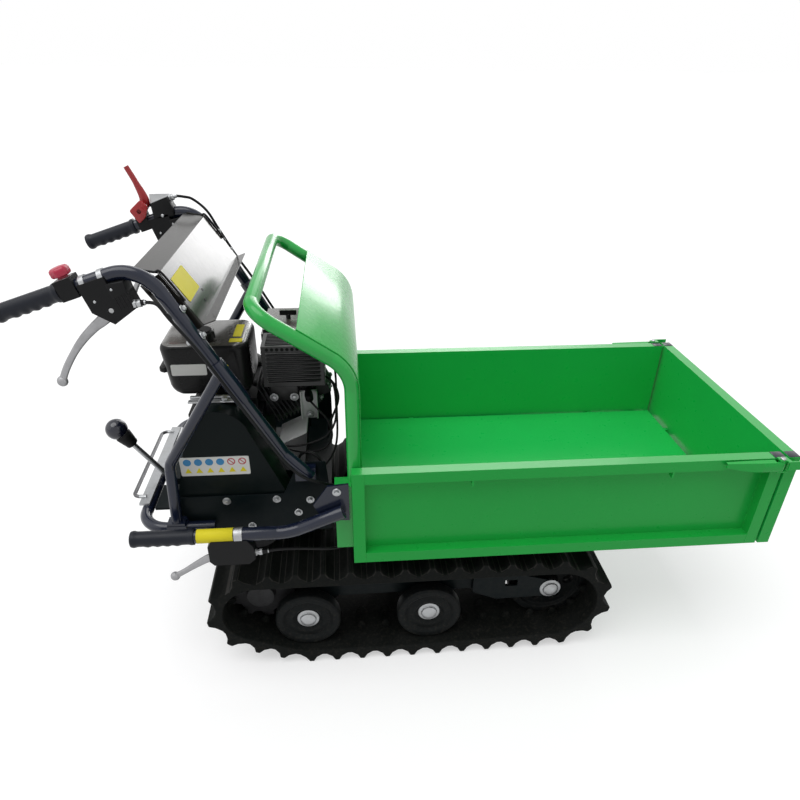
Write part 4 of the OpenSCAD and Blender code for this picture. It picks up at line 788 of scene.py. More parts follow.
def addGrip(bm, s, at, axis, down):
    part = bmesh.new()
    long, rim, waist = s["length"], s["flange"], s["waist"]
    profile = [(0, 0), (rim - 4, 0), (rim - 1.2, 1.2), (rim, 4.5), (rim, 8), (rim - 0.8, 11), (waist, 15)]
    profile += [(waist, d) for d in range(18, long - 14, 2)]
    profile += [(waist, long - 12), (rim - 0.6, long - 9), (rim, long - 6), (rim - 0.4, long - 1),
                (rim - 3, long), (0, long)]
    addTurned(part, profile, at, axis, 40)
    start, along, low = place(*at), Vector(axis).normalized(), Vector(down).normalized()
    for v in part.verts:
        d = (v.co - start).dot(along) * 1000
        if s["ridgeFrom"] < d < s["ridgeTo"]:
            out = v.co - start - along * d / 1000
            turn = (d - s["ridgeFrom"]) / (s["ridgeTo"] - s["ridgeFrom"]) * s["ridges"]
            swell = 0.5 - 0.5 * math.cos(2 * math.pi * turn)
            v.co += out.normalized() * max(0.0, out.normalized().dot(low)) * swell * s["ridgeDepth"] / 1000
    joinInto(bm, part)


bm = bmesh.new()
for side in sideNames:
    addGrip(bm, gripSet, onBar(0, 0, side), barRun, -barRise)
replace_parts(newPiece("handleGripsRibbed", bm, "gripRubber"), "handle_grips")
bm = bmesh.new()
addGrip(bm, tipGripSet, tipGripSet["at"], (1, 0, 0), (0, 0, -1))
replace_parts(newPiece("tipGripRibbed", bm, "gripRubber", "bed"), "tip_grip")
print("grips made")


# Cast hand levers with a ball end

leverSet = {
    "steering_lever_right": {"pivot": (-393.2, -240, 865.6), "body": "steer_right", "curve": "long"},
    "steering_lever_left": {"pivot": (-393.2, 240, 865.6), "body": "steer_left", "curve": "long"},
    "tip_lever": {"pivot": (-276, -305, 358), "body": "tip_release", "curve": "short"},
}
leverCurves = {
    "long": [(-2, 4), (-26, -17), (-46, -32), (-70, -54), (-92, -80), (-112, -109), (-125, -134)],
    "short": [(-2, 6), (-26, -2), (-52, -17), (-77, -33), (-98, -45)],
}
leverShape = {"inset": 5.5, "wide": (5.5, 4.4), "thick": (12, 8.4, 6.2, 6.4), "ball": 9.6, "hub": 12,
              "sides": 18}


def between(values, share):
    at = share * (len(values) - 1)
    i = min(int(at), len(values) - 2)
    return values[i] + (values[i + 1] - values[i]) * (at - i)


# the blade along a path, and the round hub at its pivot
def addBlade(bm, path, pivot, shape):
    last = len(path) - 1
    sizes = [(between(shape["wide"], i / last), between(shape["thick"], i / last)) for i in range(last + 1)]
    addSwept(bm, path, sizes, shape["sides"])
    hub, wide = shape["hub"], shape["wide"][0]
    rim = [(0, -wide), (hub - 1.5, -wide), (hub, 1.5 - wide), (hub, wide - 1.5), (hub - 1.5, wide),
           (0, wide)]
    addTurned(bm, rim, pivot, (0, 1, 0), 32)


def makeLever(node, s, shape):
    x, y, z = s["pivot"]
    edge = smoothPath(leverCurves[s["curve"]], 5)
    last = len(edge) - 1
    path = []
    for i, spot in enumerate(edge):
        run = (edge[min(i + 1, last)] - edge[max(i - 1, 0)]).normalized()
        path.append(place(x + spot.x - run.y * shape["inset"], y, z + spot.y + run.x * shape["inset"]))
    bm = bmesh.new()
    addBlade(bm, path, s["pivot"], shape)
    knob = bmesh.new()
    bmesh.ops.create_uvsphere(knob, u_segments=24, v_segments=14, radius=shape["ball"] / 1000)
    bmesh.ops.scale(knob, vec=(1, 0.9, 1.04), verts=knob.verts)
    bmesh.ops.translate(knob, vec=path[last], verts=knob.verts)
    joinInto(bm, knob)
    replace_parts(newPiece(node + "Cast", bm, "leverSilver", s["body"], 50), node)


for node, s in leverSet.items():
    makeLever(node, s, leverShape)

# the red clutch lever: a bent blade, its pivot, and a shield plate beside the bracket
clutchSet = {
    "pivot": (-455.8, 240, 929.6), "path": [(-455.8, 929.6), (-445, 950), (-457, 988), (-471.8, 1021.6)],
    "wide": (6, 6, 5.4, 5), "thick": (12.5, 11, 6.6, 6), "hub": 12, "sides": 18, "pin": 5, "pinTo": 234,
    "shield": [(-477, 931), (-459, 903), (-443, 917), (-434, 941), (-450, 954)], "shieldFrom": 216.5,
    "shieldTo": 222.5,
}


def makeClutchLever(s):
    x, y, z = s["pivot"]
    start = s["shieldFrom"]
    bm = bmesh.new()
    addBlade(bm, [place(at.x, y, at.y) for at in smoothPath(s["path"], 8)], s["pivot"], s)
    addTurned(bm, ringOf(0, s["pin"], start, s["pinTo"]), (x, 0, z), (0, 1, 0), 24)
    deep = (s["shieldTo"] - start) / 1000
    part = newPrism([place(x, start, z) for x, z in s["shield"]], deep)
    bevelEdges(part, [e for e in part.edges if edgeSpan(e, 1) > deep / 2], 4, 4)
    bevelEdges(part, edgesOver(part, 1.2), 1.2, 2)
    joinInto(bm, part)
    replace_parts(newPiece("clutchBlade", bm, "signalRed", "clutch", 50), "clutch_lever")


makeClutchLever(clutchSet)
print("levers made")


# Control brackets: the moulding below the bar, steel bands over it, pins and ribs

houseSet = {
    "from": 157.5, "cutAt": 3, "reach": 18, "edge": 3.0, "bands": (166, 199), "bandWide": 9,
    "bandThick": 1.8, "pivotAt": 190, "pins": [((190, -52), 4.2), ((172, -30), 2.6), ((208, -20), 2.6)],
    "half": 19, "ribs": 4, "ribFrom": 206, "ribStep": 6.2, "ribEnds": (-56, -34), "ribSize": (1.6, 1.3),
}


def trimmedControls(node, side, s):
    bm = copyOf(node)
    start, level = place(*onBar(s["from"], 0, side)), place(*onBar(s["pivotAt"], s["cutAt"], side))

    def inHouse(v):
        return (v.co - start).dot(barRun) > 0 and (v.co - level).dot(barRise) < s["reach"] / 1000

    geom = [v for v in bm.verts if inHouse(v)]
    geom += [e for e in bm.edges if all(inHouse(v) for v in e.verts)]
    geom += [f for f in bm.faces if all(inHouse(v) for v in f.verts)]
    cut = bmesh.ops.bisect_plane(bm, geom=geom, plane_co=level, plane_no=barRise, clear_outer=True)
    bmesh.ops.holes_fill(bm, edges=edgesIn(cut["geom_cut"]))
    showSoft(node, bm, s["edge"], 3)


def makeBrackets(s):
    inner, outer, half = barSet["radius"] + 0.1, barSet["radius"] + s["bandThick"], s["bandWide"] / 2
    for side, name in sideNames.items():
        trimmedControls("controls_" + name, side, s)
        bm = bmesh.new()
        for d in s["bands"] if side < 0 else ():
            addTurned(bm, ringOf(inner, outer, -half, half), onBar(d, 0, side), barRun, 40, True)
            addBox(bm, *cornersAt(onBar(d, 0, side, 14.5), (4, 2.5, 5)), 0.8)
        for spot, r in s["pins"]:
            pin = [(0, 0), (r, 0), (r, 0.8), (r * 0.7, 1.8), (0, 2.2)]
            for face in (-1, 1):
                addTurned(bm, pin, onBar(*spot, side, face * (s["half"] - 0.6)), (0, face * side, 0), 20)
        newPiece("bracketBands_" + name, bm, "zincSteel")
        bm = bmesh.new()
        for k in range(s["ribs"]):
            d = s["ribFrom"] + k * s["ribStep"]
            ends = [place(*onBar(d, h, side, s["half"] - 0.8)) for h in s["ribEnds"]]
            addSwept(bm, ends, [s["ribSize"]] * 2, 10)
        newPiece("bracketRibs_" + name, bm, "blackPlastic")


# on the left a box over the bar carries the clutch lever, with a folded steel plate on it
boxSet = {
    "side": [(172, 1), (180, 36), (221, 37.5), (224, 9), (219, -6)], "near": 221, "far": 256,
    "plate": [(181, 221, 37), (222, 221, 38.6), (222, 257, 38), (178, 254, 52)], "thick": 1.6,
    "screw": (194.5, 3.5), "fill": [(202, -9), (233, -13), (230, -34), (202, -36)], "fillHalf": 19.6,
}


# a rounded block from an outline beside the bar
def prismPiece(name, outline, side, outFrom, outTo):
    bm = bmesh.new()
    corners = [place(*onBar(d, h, side, outFrom)) for d, h in outline]
    part = newPrism(corners, side * (outTo - outFrom) / 1000)
    bevelEdges(part, list(part.edges), 2.2, 3)
    joinInto(bm, part)
    newPiece(name, bm, "blackPlastic", smooth=40)


def makeLeftBox(s):
    out = s["near"] - barSet["y"]
    prismPiece("leftBox", s["side"], 1, out, s["far"] - barSet["y"])
    for side, name in sideNames.items():
        prismPiece("houseFill_" + name, s["fill"], side, -s["fillHalf"], s["fillHalf"])
    bm = bmesh.new()
    corners = [bm.verts.new(place(*onBar(d, h, 1, y - barSet["y"]))) for d, y, h in s["plate"]]
    bm.faces.new((corners[0], corners[1], corners[2]))
    bm.faces.new((corners[0], corners[2], corners[3]))
    bmesh.ops.recalc_face_normals(bm, faces=bm.faces)
    bmesh.ops.solidify(bm, geom=bm.faces[:], thickness=s["thick"] / 1000)
    bevelEdges(bm, edgesOver(bm, 1.2), 0.4, 2)
    screw = [(0, 0), (3.6, 0), (3.6, 1.0), (2.6, 2.0), (0, 2.4)]
    addTurned(bm, screw, onBar(*s["screw"], 1, out), (0, -1, 0), 20)
    newPiece("leftBoxPlate", bm, "zincSteel", smooth=30)


# barrel and two nuts on the end of a cable sleeve; each nut has its share of the length, radius, height
adjusterSet = {
    "nuts": [(0.12, 8, 5), (0.45, 7.2, 7)], "steer": ((228, -55), (249, -58.4)), "out": 13,
    "clutch": ((219, 31), (240, 31)), "tip": ((-204, -305, 362), (-174, -305, 364)),
}


def addAdjuster(bm, start, end):
    axis = Vector(end) - Vector(start)
    long = axis.length
    barrel = [(0, 0), (5.6, 0), (5.6, long * 0.45), (4.4, long * 0.5), (4.4, long - 2), (3.6, long),
              (0, long)]
    addTurned(bm, barrel, start, axis, 20)
    for share, r, h in adjusterSet["nuts"]:
        nut = newNut(6, r, h)
        bevelEdges(nut, list(nut.edges), 0.6, 2)
        bmesh.ops.transform(nut, matrix=turnedTo(axis, Vector(start) + axis * share), verts=nut.verts)
        joinInto(bm, nut)


def makeAdjusters(s):
    bm = bmesh.new()
    for side in sideNames:
        addAdjuster(bm, *(onBar(d, h, side, s["out"]) for d, h in s["steer"]))
    addAdjuster(bm, *(onBar(d, h, 1) for d, h in s["clutch"]))
    newPiece("cableAdjusters", bm, "zincSteel")
    bm = bmesh.new()
    addAdjuster(bm, *s["tip"])
    newPiece("tipAdjuster", bm, "zincSteel", "bed")


makeBrackets(houseSet)
makeLeftBox(boxSet)
makeAdjusters(adjusterSet)
print("brackets made")


# Stop switch: a grey collar and a lobed red knob

switchSet = {"d": 138, "stemBase": 16.8, "r": 16.8, "lobes": 6, "lobeDepth": 1.3, "lobeFrom": 5.9,
             "lobeOut": 9, "collarBase": 18.6, "collar": 14, "collarHole": 9.8}


def makeStopSwitch(s):
    bm = bmesh.new()
    r = s["r"]
    at = onBar(s["d"], s["stemBase"], -1)
    profile = [(0, 0), (8.7, 0), (8.7, 5.8), (r - 2.4, 6), (r - 0.5, 7.4), (r, 9.6), (r, 16),
               (r - 0.9, 18.6), (r - 3.4, 20.8), (r - 8, 21.6), (0, 21.8)]
    addTurned(bm, profile, at, barRise, 60)
    centre = place(*at)
    for v in bm.verts:
        up = (v.co - centre).dot(barRise)
        out = v.co - centre - barRise * up
        if up > s["lobeFrom"] / 1000 and out.length > s["lobeOut"] / 1000:
            angle = math.atan2(out.y, out.dot(barRun))
            v.co -= out.normalized() * s["lobeDepth"] / 1000 * (0.5 + 0.5 * math.cos(s["lobes"] * angle))
    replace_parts(newPiece("stopKnob", bm, "knobRed", "stop_switch"), "stop_button")
    rim, hole = s["collar"], s["collarHole"]
    ring = [(hole, 0), (rim, 0), (rim, 0.5), (rim - 0.4, 0.9), (hole, 0.9)]
    at = onBar(s["d"], s["collarBase"], -1)
    turnedPiece("stopCollar", "leverSilver", ring, at, barRise, 36, closed=True)


makeStopSwitch(switchSet)
print("stop switch made")


# Cables in their sleeves, along the same routes as their solids

deckTop = 382.3
steerRoute = [
    onBar(246, -58, -1, 13), (-316, -262, 876), (-298, -268, 852), (-258, -268, 790), (-214, -267, 708),
    (-172, -266, 630), (-132, -264, 558), (-98, -262, 516), (-58, -254, 492), (-34, -236, 472),
    (-26, -205, 446), (-42, -160, 420), (-52, -140, 404), (-52, -140, deckTop)]
clutchRoute = [
    onBar(237, 31, 1), (-358, 241, 957), (-338, 243, 951), besideBar(24, 18, 245), besideBar(70, 18, 243),
    besideBar(140, 18, 240), besideBar(205, 21, 240), besideBar(300, 21, 240), besideBar(380, 19, 240),
    (-112, 234, 556), (-100, 206, 530), (-96, 190, 480), (-100, 180, 425), (-104, 178, 404),
    (-104, 178, deckTop)]
loopRoute = [
    (-64, -196, deckTop), (-64, -196, 404), (-60, -200, 440), (-58, -200, 480), (-64, -196, 512),
    (-84, -186, 524), (-106, -172, 510), (-112, -158, 470), (-104, -146, 425),
    (-100, -142, 404), (-100, -142, deckTop)]
tipRoute = [
    (-176, -305, 364), (-150, -304, 366), (-110, -300, 362), (-70, -290, 350), (-40, -276, 338),
    (-16, -262, 332), (10, -250, 330), (30, -244, 330), (44.7, -240, 330)]
cableRadius, wireRadius = 3, 2.3


# a cable that leaves the object at its first point and goes back into it at its last
def addCable(name, route, radius=cableRadius, body="chassis"):
    wire = addWire(name, route, radius, "blackPlastic", body)
    return wire


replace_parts(addCable("steerCable_right", steerRoute), "control_cables")
addCable("steerCable_left", [(x, -y, z) for x, y, z in steerRoute])
addCable("clutchCable", clutchRoute)
addCable("throttleCable", loopRoute)
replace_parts(addCable("tipCable", tipRoute, body="bed"), "tip_cable")

# loose wires between the engine and the guard
wireSet = {
    "plugWire": [(-86, -75, 606), (-82, -100, 602), (-66, -124, 594), (-44, -140, 572), (-38, -150, 538),
                 (-58, -154, 512), (-98, -148, 502), (-138, -124, 498), (-168, -100, 494), (-184, -86, 490)],
    "stopWire": [(-45, -120, 668), (-30, -136, 656), (-26, -152, 622), (-30, -160, 580), (-52, -164, 548),
                 (-90, -164, 532), (-128, -154, 522), (-160, -126, 514), (-184, -92, 508)],
    "chokeWire": [(-54, -60, 694), (-36, -66, 692), (-26, -92, 668), (-25, -130, 610), (-28, -172, 540),
                  (-50, -184, 496), (-84, -184, 474), (-116, -172, 470), (-146, -140, 478),
                  (-168, -110, 480), (-184, -84, 476)],
    "earthWire": [(-128, -150, deckTop), (-124, -156, 404), (-108, -172, 430), (-78, -190, 444),
                  (-50, -196, 438), (-36, -190, 416), (-40, -176, 396), (-42, -170, deckTop)],
}
for name, route in wireSet.items():
    addCable(name, route, wireRadius)
print("cables made")


# Gear lever's knob and boot

knobSet = {"at": (-511, -64, 527), "bend": (-424, -64, 402), "ball": 23.3, "boot": 50}


def makeGearKnob(s):
    up = (Vector(s["at"]) - Vector(s["bend"])).normalized()
    r, foot = s["ball"], -s["boot"]
    ball = [(r * math.cos(math.radians(a)), r * math.sin(math.radians(a))) for a in range(-48, 90, 6)]
    knob = [(0, -14), (12, -17.6)] + ball + [(0, r)]
    turnedPiece("gearKnob", "knobGloss", knob, s["at"], up, 48, "gear_stick")
    boot = [(0, foot), (9, foot), (12.2, foot + 1.5), (13.8, foot + 5), (13.9, foot + 9), (14.8, foot + 12),
            (17.0, -26), (18.2, -19), (17.4, -17), (0, -15)]
    turnedPiece("gearBoot", "blackPlastic", boot, s["at"], up, 40, "gear_stick")


makeGearKnob(knobSet)
print("gear knob made")


# Plain labels: opposite corners of each, and the label and band round the tip handle

labelSet = {
    "coverLabel": ("labelWhite", (-345, -216.7, 497), (-206, -216.0, 541)),
    "tankLabelRear": ("labelWhite", (-354, -120.7, 678), (-284, -119.6, 702)),
    "tankLabelFront": ("labelYellow", (-262, -120.7, 680), (-240, -119.6, 700)),
}
tankTopLabels = [((-232, -74, 740.8), (-215, -6, 741.5)), ((-236, -103, 740.8), (-210, -84, 741.5))]
tipSet = {"label": [(14.05, -312), (14.45, -311.6), (14.45, -240.4), (14.05, -240)], "axis": (0, -305, 410),
          "band": (14.1, 15.6, -8, 8), "bandAt": (-230, -305, 410)}


def makeLabels(rows, tip):
    for name, (finish, low, high) in rows.items():
        boxPiece(name, finish, [(low, high)], smooth=60, corner=(1, 3))
    boxPiece("tankTopLabels", "labelYellow", tankTopLabels, smooth=60, corner=(2, 2))
    turnedPiece("tipHandleLabel", "labelYellow", tip["label"], tip["axis"], (1, 0, 0), 48, "bed", 60)
    band = ringOf(*tip["band"])
    turnedPiece("tipBand", "zincSteel", band, tip["bandAt"], (1, 0, 0), 48, "bed", closed=True)


# discs, rings and triangles in two rows on the cover's label: x and z of the first, and their step
markSet = {"out": -216.7, "start": (-330, 529), "drop": 21, "step": 22, "count": 6, "rings": 2, "r": 8,
           "ringWide": 2, "bar": 0.9, "thick": 0.25}


def makeMarks(s):
    discs, rings, signs = bmesh.new(), bmesh.new(), bmesh.new()
    r, t, out = s["r"], s["thick"], s["out"]
    slant, upright = Matrix.Rotation(math.radians(45), 3, "Y"), Matrix.Rotation(math.radians(90), 3, "X")
    for k in range(s["count"]):
        x, z = s["start"][0] + k * s["step"], s["start"][1]
        if k < s["count"] - s["rings"]:
            addTurned(discs, ringOf(0, r, 0, t), (x, out, z), (0, -1, 0), 32)
        else:
            addTurned(rings, ringOf(r - s["ringWide"], r, 0, t), (x, out, z), (0, -1, 0), 32, True)
            addBox(rings, (x - r + 1, out - t, z - s["bar"]), (x + r - 1, out, z + s["bar"]), turn=slant)
        sign = newNut(3, r, 2 * t)
        bmesh.ops.rotate(sign, cent=(0, 0, 0), matrix=upright, verts=sign.verts)
        bmesh.ops.translate(sign, vec=place(x, out, z - s["drop"]), verts=sign.verts)
        joinInto(signs, sign)
    newPiece("coverMarksBlue", discs, "labelBlue", smooth=60)
    newPiece("coverMarksRed", rings, "labelRed", smooth=60)
    newPiece("coverMarksYellow", signs, "labelYellow", smooth=60)


makeLabels(labelSet, tipSet)
makeMarks(markSet)
print("labels made")


# Console: a label, two dark discs painted as the shade in two holes, a rubber edging down each side

consoleSet = {"lower": (-253, 823), "fold": (-314, 917), "back": (-356, 923), "half": 224, "sheet": 2,
              "label": 67, "labelHalf": 25, "labelY": (-204, -116), "holeShades": [(34, -112), (20, -136)],
              "edging": 2.2, "edgingFrom": 110, "edgingTo": 52}


# a place on the sloping front, with the directions up it and out from it
def onConsole(s, along, lift=0.0):
    (x0, z0), (x1, z1) = s["lower"], s["fold"]
    run = Vector((x1 - x0, 0, z1 - z0)).normalized()
    out = Vector((run.z, 0, -run.x))
    spot = Vector((x0, 0, z0)) + run * along + out * (s["sheet"] + lift)
    return spot, run, out


def makeConsoleTrim(s):
    spot, run, out = onConsole(s, s["label"], 0.45)
    turn = Matrix((run, Vector((0, 1, 0)), -out)).transposed()
    y0, y1 = s["labelY"]
    corners = (spot.x - s["labelHalf"], y0, spot.z - 0.3), (spot.x + s["labelHalf"], y1, spot.z + 0.3)
    boxPiece("consoleLabel", "labelYellow", [corners], smooth=60, corner=(2, 3), turn=turn)
    # thin black discs where two holes are: painted shade
    bm = bmesh.new()
    for along, y in s["holeShades"]:
        spot, run, out = onConsole(s, along, -0.2)
        addTurned(bm, [(0, 0), (3.2, 0), (3.2, 0.6), (0, 0.7)], (spot.x, y, spot.z), out, 20)
    newPiece("consoleHoleShades", bm, "blackPlastic")
    top, low = (onConsole(s, s[end], s["edging"])[0] for end in ("edgingFrom", "edgingTo"))
    (backX, backZ), (foldX, foldZ) = s["back"], s["fold"]
    for side, name in sideNames.items():
        y = side * s["half"]
        route = [(backX + 4, y, backZ + 2), (foldX - 8, y, foldZ + 3), (top.x, y, top.z + 1),
                 (low.x, y, low.z)]
        addWire("consoleEdging_" + name, route, s["edging"], "blackPlastic", "chassis")


makeConsoleTrim(consoleSet)
print("console trim made")


# Fuel tank: its rear is drawn in towards the bottom, and it has a lip and two feet; its top faces get a
# lighter grey, a painted sheen

tankSet = {
    "low": (-376, -120, 628), "high": (-198, 36, 741), "plan": 30, "top": 14, "bottom": 22,
    "pinchBelow": 690, "pinch": 14, "lip": ((-386, -98, 675), (-364, 14, 685)), "feet": (-60, 10),
    "footHalf": 12, "footX": (-322, -222), "footZ": (600, 630), "topFrom": 0.75,
}


# a block with rounded upright edges, and its top and bottom edges rounded after them
def addRounded(bm, low, high, plan, top, bottom):
    part, middle = newBlock(low, high)
    half = (place(*high) - place(*low)).z / 2
    bevelEdges(part, [e for e in part.edges if edgeSpan(e, 2) > half], plan, 8)
    for level, radius in ((half, top), (-half, bottom)):
        ends = [e for e in part.edges if all(abs(v.co.z - level) < 1e-6 for v in e.verts)]
        bevelEdges(part, ends, radius, 5)
    bmesh.ops.translate(part, vec=middle, verts=part.verts)
    joinInto(bm, part)


def makeTank(s):
    bm = bmesh.new()
    addRounded(bm, s["low"], s["high"], s["plan"], s["top"], s["bottom"])
    front = place(s["high"][0], 0, 0).x
    long = place(s["low"][0], 0, 0).x - front
    for v in bm.verts:
        drop = max(0.0, s["pinchBelow"] - v.co.z * 1000) / (s["pinchBelow"] - s["low"][2])
        v.co.x += s["pinch"] / 1000 * drop * (v.co.x - front) / long
    addBox(bm, *s["lip"], edge=3.5, segments=3, corner=(2, 12))
    (x0, x1), (z0, z1) = s["footX"], s["footZ"]
    for y in s["feet"]:
        addBox(bm, (x0, y - s["footHalf"], z0), (x1, y + s["footHalf"], z1), edge=2)
    shell = newPiece("tankShell", bm, "tankPlastic", smooth=40)
    # the upward faces of the tank's top get the lighter grey finish, a painted sheen
    shell.data.materials.append(finishes["tankTopPaintedSheen"])
    for face in shell.data.polygons:
        face.material_index = int(face.normal.z > s["topFrom"] and face.center.z * 1000 > s["pinchBelow"])
    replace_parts(shell, "fuel_tank")


makeTank(tankSet)
print("tank made")


# Muffler guard: louvres on two sides and the top, and a row of dark discs, painted shade where its holes are

guardSet = {"x": (-170, -46), "y": (-140, -58), "z": (656, 744), "louvres": 8, "edge": 10, "slot": 4.5,
            "hood": 24, "topFrom": 9, "topStep": 7.6, "holes": 11, "holeIn": 12, "holeDown": 6.5}


def makeGuardTrim(s):
    (x0, x1), (y0, y1), (z0, z1) = s["x"], s["y"], s["z"]
    step = (z1 - z0 - 2 * s["edge"]) / s["louvres"]
    hood = Matrix.Rotation(math.radians(s["hood"]), 3, "X")
    bm = bmesh.new()
    for k in range(s["louvres"]):
        z = z0 + s["edge"] + s["slot"] + k * step
        addBox(bm, (x0 + 8, y0 - 3.2, z - 0.2), (x1 - 8, y0 + 0.8, z + 1.2), edge=0.5, turn=hood)
        addBox(bm, (x0 - 1.4, y0 + 6, z - 3), (x0 + 0.5, y1 - 14, z), edge=0.7)
        y = y0 + s["topFrom"] + k * s["topStep"]
        addBox(bm, (x0 + 8, y, z1 - 0.5), (x1 - 8, y + 3.4, z1 + 1.5), edge=0.7)
    newPiece("guardLouvres", bm, "guardBlack")
    # near-black discs where the holes are: painted shade
    bm = bmesh.new()
    hole = [(0, 0), (3.4, 0), (3.4, 0.5), (0, 0.6)]
    for k in range(s["holes"]):
        x = x0 + s["holeIn"] + k * (x1 - x0 - 2 * s["holeIn"]) / (s["holes"] - 1)
        addTurned(bm, hole, (x, y0 + 0.2, z1 - s["holeDown"]), (0, -1, 0), 16)
    newPiece("guardHoleShades", bm, "trackRubber")


# Engine: rails on the cover, bolts, plug cap, shields and the fuel cap's ridges

engineSet = {
    "rails": [((-318, -178, 642.5), (-214, -166, 646)), ((-316, -163, 642.5), (-216, -155, 650))],
    "railBolt": (-246, -172, 645.5), "crank": (-262, 0, 531), "lean": 25,
    "headBolts": [(30, 30, 229, 5, 4.5), (42, 40, 202, 4.5, 5)],
    "caseBolts": [(-326, 440), (-202, 440), (-326, 566), (-202, 566)], "caseOut": -95,
    "plugAt": 190, "plugOut": -50, "plugAxis": (0.15, -1, -0.2),
    "plug": [(0, 0), (9, 0), (9, 8), (6.5, 10), (6.5, 22), (8.5, 24), (9.5, 32), (8.5, 46), (5, 50),
             (0, 50)],
    "slope": ((-156, -134, 526.8), (-88, -44, 529.2)),
    "channel": [((-106, -66, 538), (-102, -52, 606)), ((-104, -60, 538), (-70, -54, 606)),
                ((-72, -66, 538), (-68, -52, 606))],
    "flange": ((-172, -62, 584), (-108, -50, 622)), "flangeBolts": [(-162, 593), (-118, 593), (-86, 548)],
    "flangeOut": -62, "cap": (-294, -82), "capR": 27, "capRidges": 14, "capZ": (743, 757),
}


def makeEngineTrim(s):
    bm = bmesh.new()
    for low, high in s["rails"]:
        addBox(bm, low, high, edge=1.2)
    addHexBolt(bm, s["railBolt"], (0, 0, 1), 6, 5)
    newPiece("coverRails", bm, "zincSteel")
    lean = math.radians(s["lean"])
    crank, up = Vector(s["crank"]), Vector((math.cos(lean), 0, math.sin(lean)))
    across = Vector((-up.z, 0, up.x))
    bolts = []
    for outY, outH, along, r, tall in s["headBolts"]:
        for y in (-outY, outY):
            for h in (-outH, outH):
                bolts.append((tuple(crank + up * along + across * h + Vector((0, y, 0))), up, r, tall))
    bolts += [((x, s["caseOut"], z), (0, -1, 0), 5, 4.5) for x, z in s["caseBolts"]]
    boltPiece("engineBolts", bolts)
    plug = crank + up * s["plugAt"] + Vector((0, s["plugOut"], 0))
    turnedPiece("plugCap", "blackPlastic", s["plug"], tuple(plug), s["plugAxis"], 24)
    bm = bmesh.new()
    addBox(bm, *s["slope"], edge=0.6, corner=(2, 6), turn=Matrix.Rotation(-lean, 3, "Y"))
    for low, high in s["channel"]:
        addBox(bm, low, high, edge=1)
    newPiece("cylinderShield", bm, "brightPlate")
    boxPiece("exhaustFlange", "guardBlack", [s["flange"]], edge=2.5, corner=(1, 9))
    boltPiece("flangeBolts", [((x, s["flangeOut"], z), (0, -1, 0), 6, 5.5) for x, z in s["flangeBolts"]])
    bm = bmesh.new()
    for k in range(s["capRidges"]):
        a = 2 * math.pi * k / s["capRidges"]
        x, y = (c + s["capR"] * f(a) for c, f in zip(s["cap"], (math.cos, math.sin)))
        ends = [place(x, y, z) for z in s["capZ"]]
        addSwept(bm, ends, [(2.0, 2.0), (1.6, 1.6)], 8, (math.cos(a), math.sin(a), 0))
    newPiece("capRidges", bm, "tankPlastic", "tank_cap")


makeGuardTrim(guardSet)
makeEngineTrim(engineSet)
print("engine trim made")


# Bolts on the skirts, the bars and the tip handle's plate, and clips that hold the clutch cable

boltSet = {
    "skirtOut": 222.2, "skirt": [(-262, 434), (-216, 366), (-158, 434), (-115, 397), (-88, 429)],
    "bar": (96, 152), "plateOut": 294, "plate": [(-30, 496), (-24, 446)], "clips": (74, 122),
    "clip": (12.6, 13.8, -4, 4),
}


def makeBolts(s):
    bolts = []
    for side in sideNames:
        bolts += [((x, side * s["skirtOut"], z), (0, side, 0), 5.6, 5) for x, z in s["skirt"]]
        for along in s["bar"]:
            for face in (-1, 1):
                axis = (-face * barDrop[1], 0, face * barDrop[0])
                bolts.append((besideBar(along, face * barSet["radius"], side * barSet["y"]), axis, 4.8, 5))
    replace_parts(boltPiece("machineBoltsHex", bolts), "machine_bolts")
    boltPiece("tipPlateBolts", [((x, -s["plateOut"], z), (0, -1, 0), 5.6, 5) for x, z in s["plate"]], "bed")
    bm = bmesh.new()
    for along in s["clips"]:
        at = besideBar(along, 0, barSet["y"])
        addTurned(bm, ringOf(*s["clip"]), at, (barDrop[0], 0, barDrop[1]), 40, True)
        addBox(bm, *cornersAt(besideBar(along, 17, barSet["y"] - 6), (5, 3, 5)), edge=1.2)
    newPiece("cableClips", bm, "zincSteel")


makeBolts(boltSet)
print("bolts made")


# Domed caps and dished washers on the ends of the axles

trackOut = 197
rollerSpots, idlerSpot = [(-111, 113.5), (172, 113.5)], (469.06, 141.5)
hubSet = {
    "spots": [(rollerSpots[0], 59.8), (rollerSpots[1], 59.8), (idlerSpot, 34)],
    "dome": [(0, 3.5), (18.5, 3.5), (18.5, 4), (17.6, 6.6), (14, 9.2), (8.5, 10.9), (0, 11.5)],
    "washer": [(19, 0), (25.5, 0), (25.8, 0.9), (24.6, 1.9), (19, 2.6)],
}


def makeHubs(s):
    bm = bmesh.new()
    for side in sideNames:
        for (x, z), face in s["spots"]:
            base = (x, side * (trackOut + face), z)
            addTurned(bm, s["dome"], base, (0, side, 0), 40)
            addTurned(bm, s["washer"], base, (0, side, 0), 48, True)
    newPiece("hubCaps", bm, "zincSteel", smooth=30)


makeHubs(hubSet)


# Track guide horns inside the bands, which run round four wheels

trackSet = {
    "links": 33, "pitch": 60, "band": 16,
    "wheels": [((-219, 160), 85.94), (rollerSpots[0], 83.5), (rollerSpots[1], 83.5), (idlerSpot, 103.5)],
    "hornAt": 24, "hornHalf": 5.5, "hornTall": 20, "hornFoot": 13,
}


# where the loop leaves each wheel, as an angle above +X
def leaveAngles(wheels):
    angles = []
    for i, (c, r) in enumerate(wheels):
        c2, r2 = wheels[(i + 1) % len(wheels)]
        dx, dz = c2[0] - c[0], c2[1] - c[1]
        long = math.hypot(dx, dz)
        ux, uz, a = dx / long, dz / long, (r - r2) / long
        b = math.sqrt(1 - a * a)
        angles.append(math.atan2(a * uz - b * ux, a * ux + b * uz))
    return angles


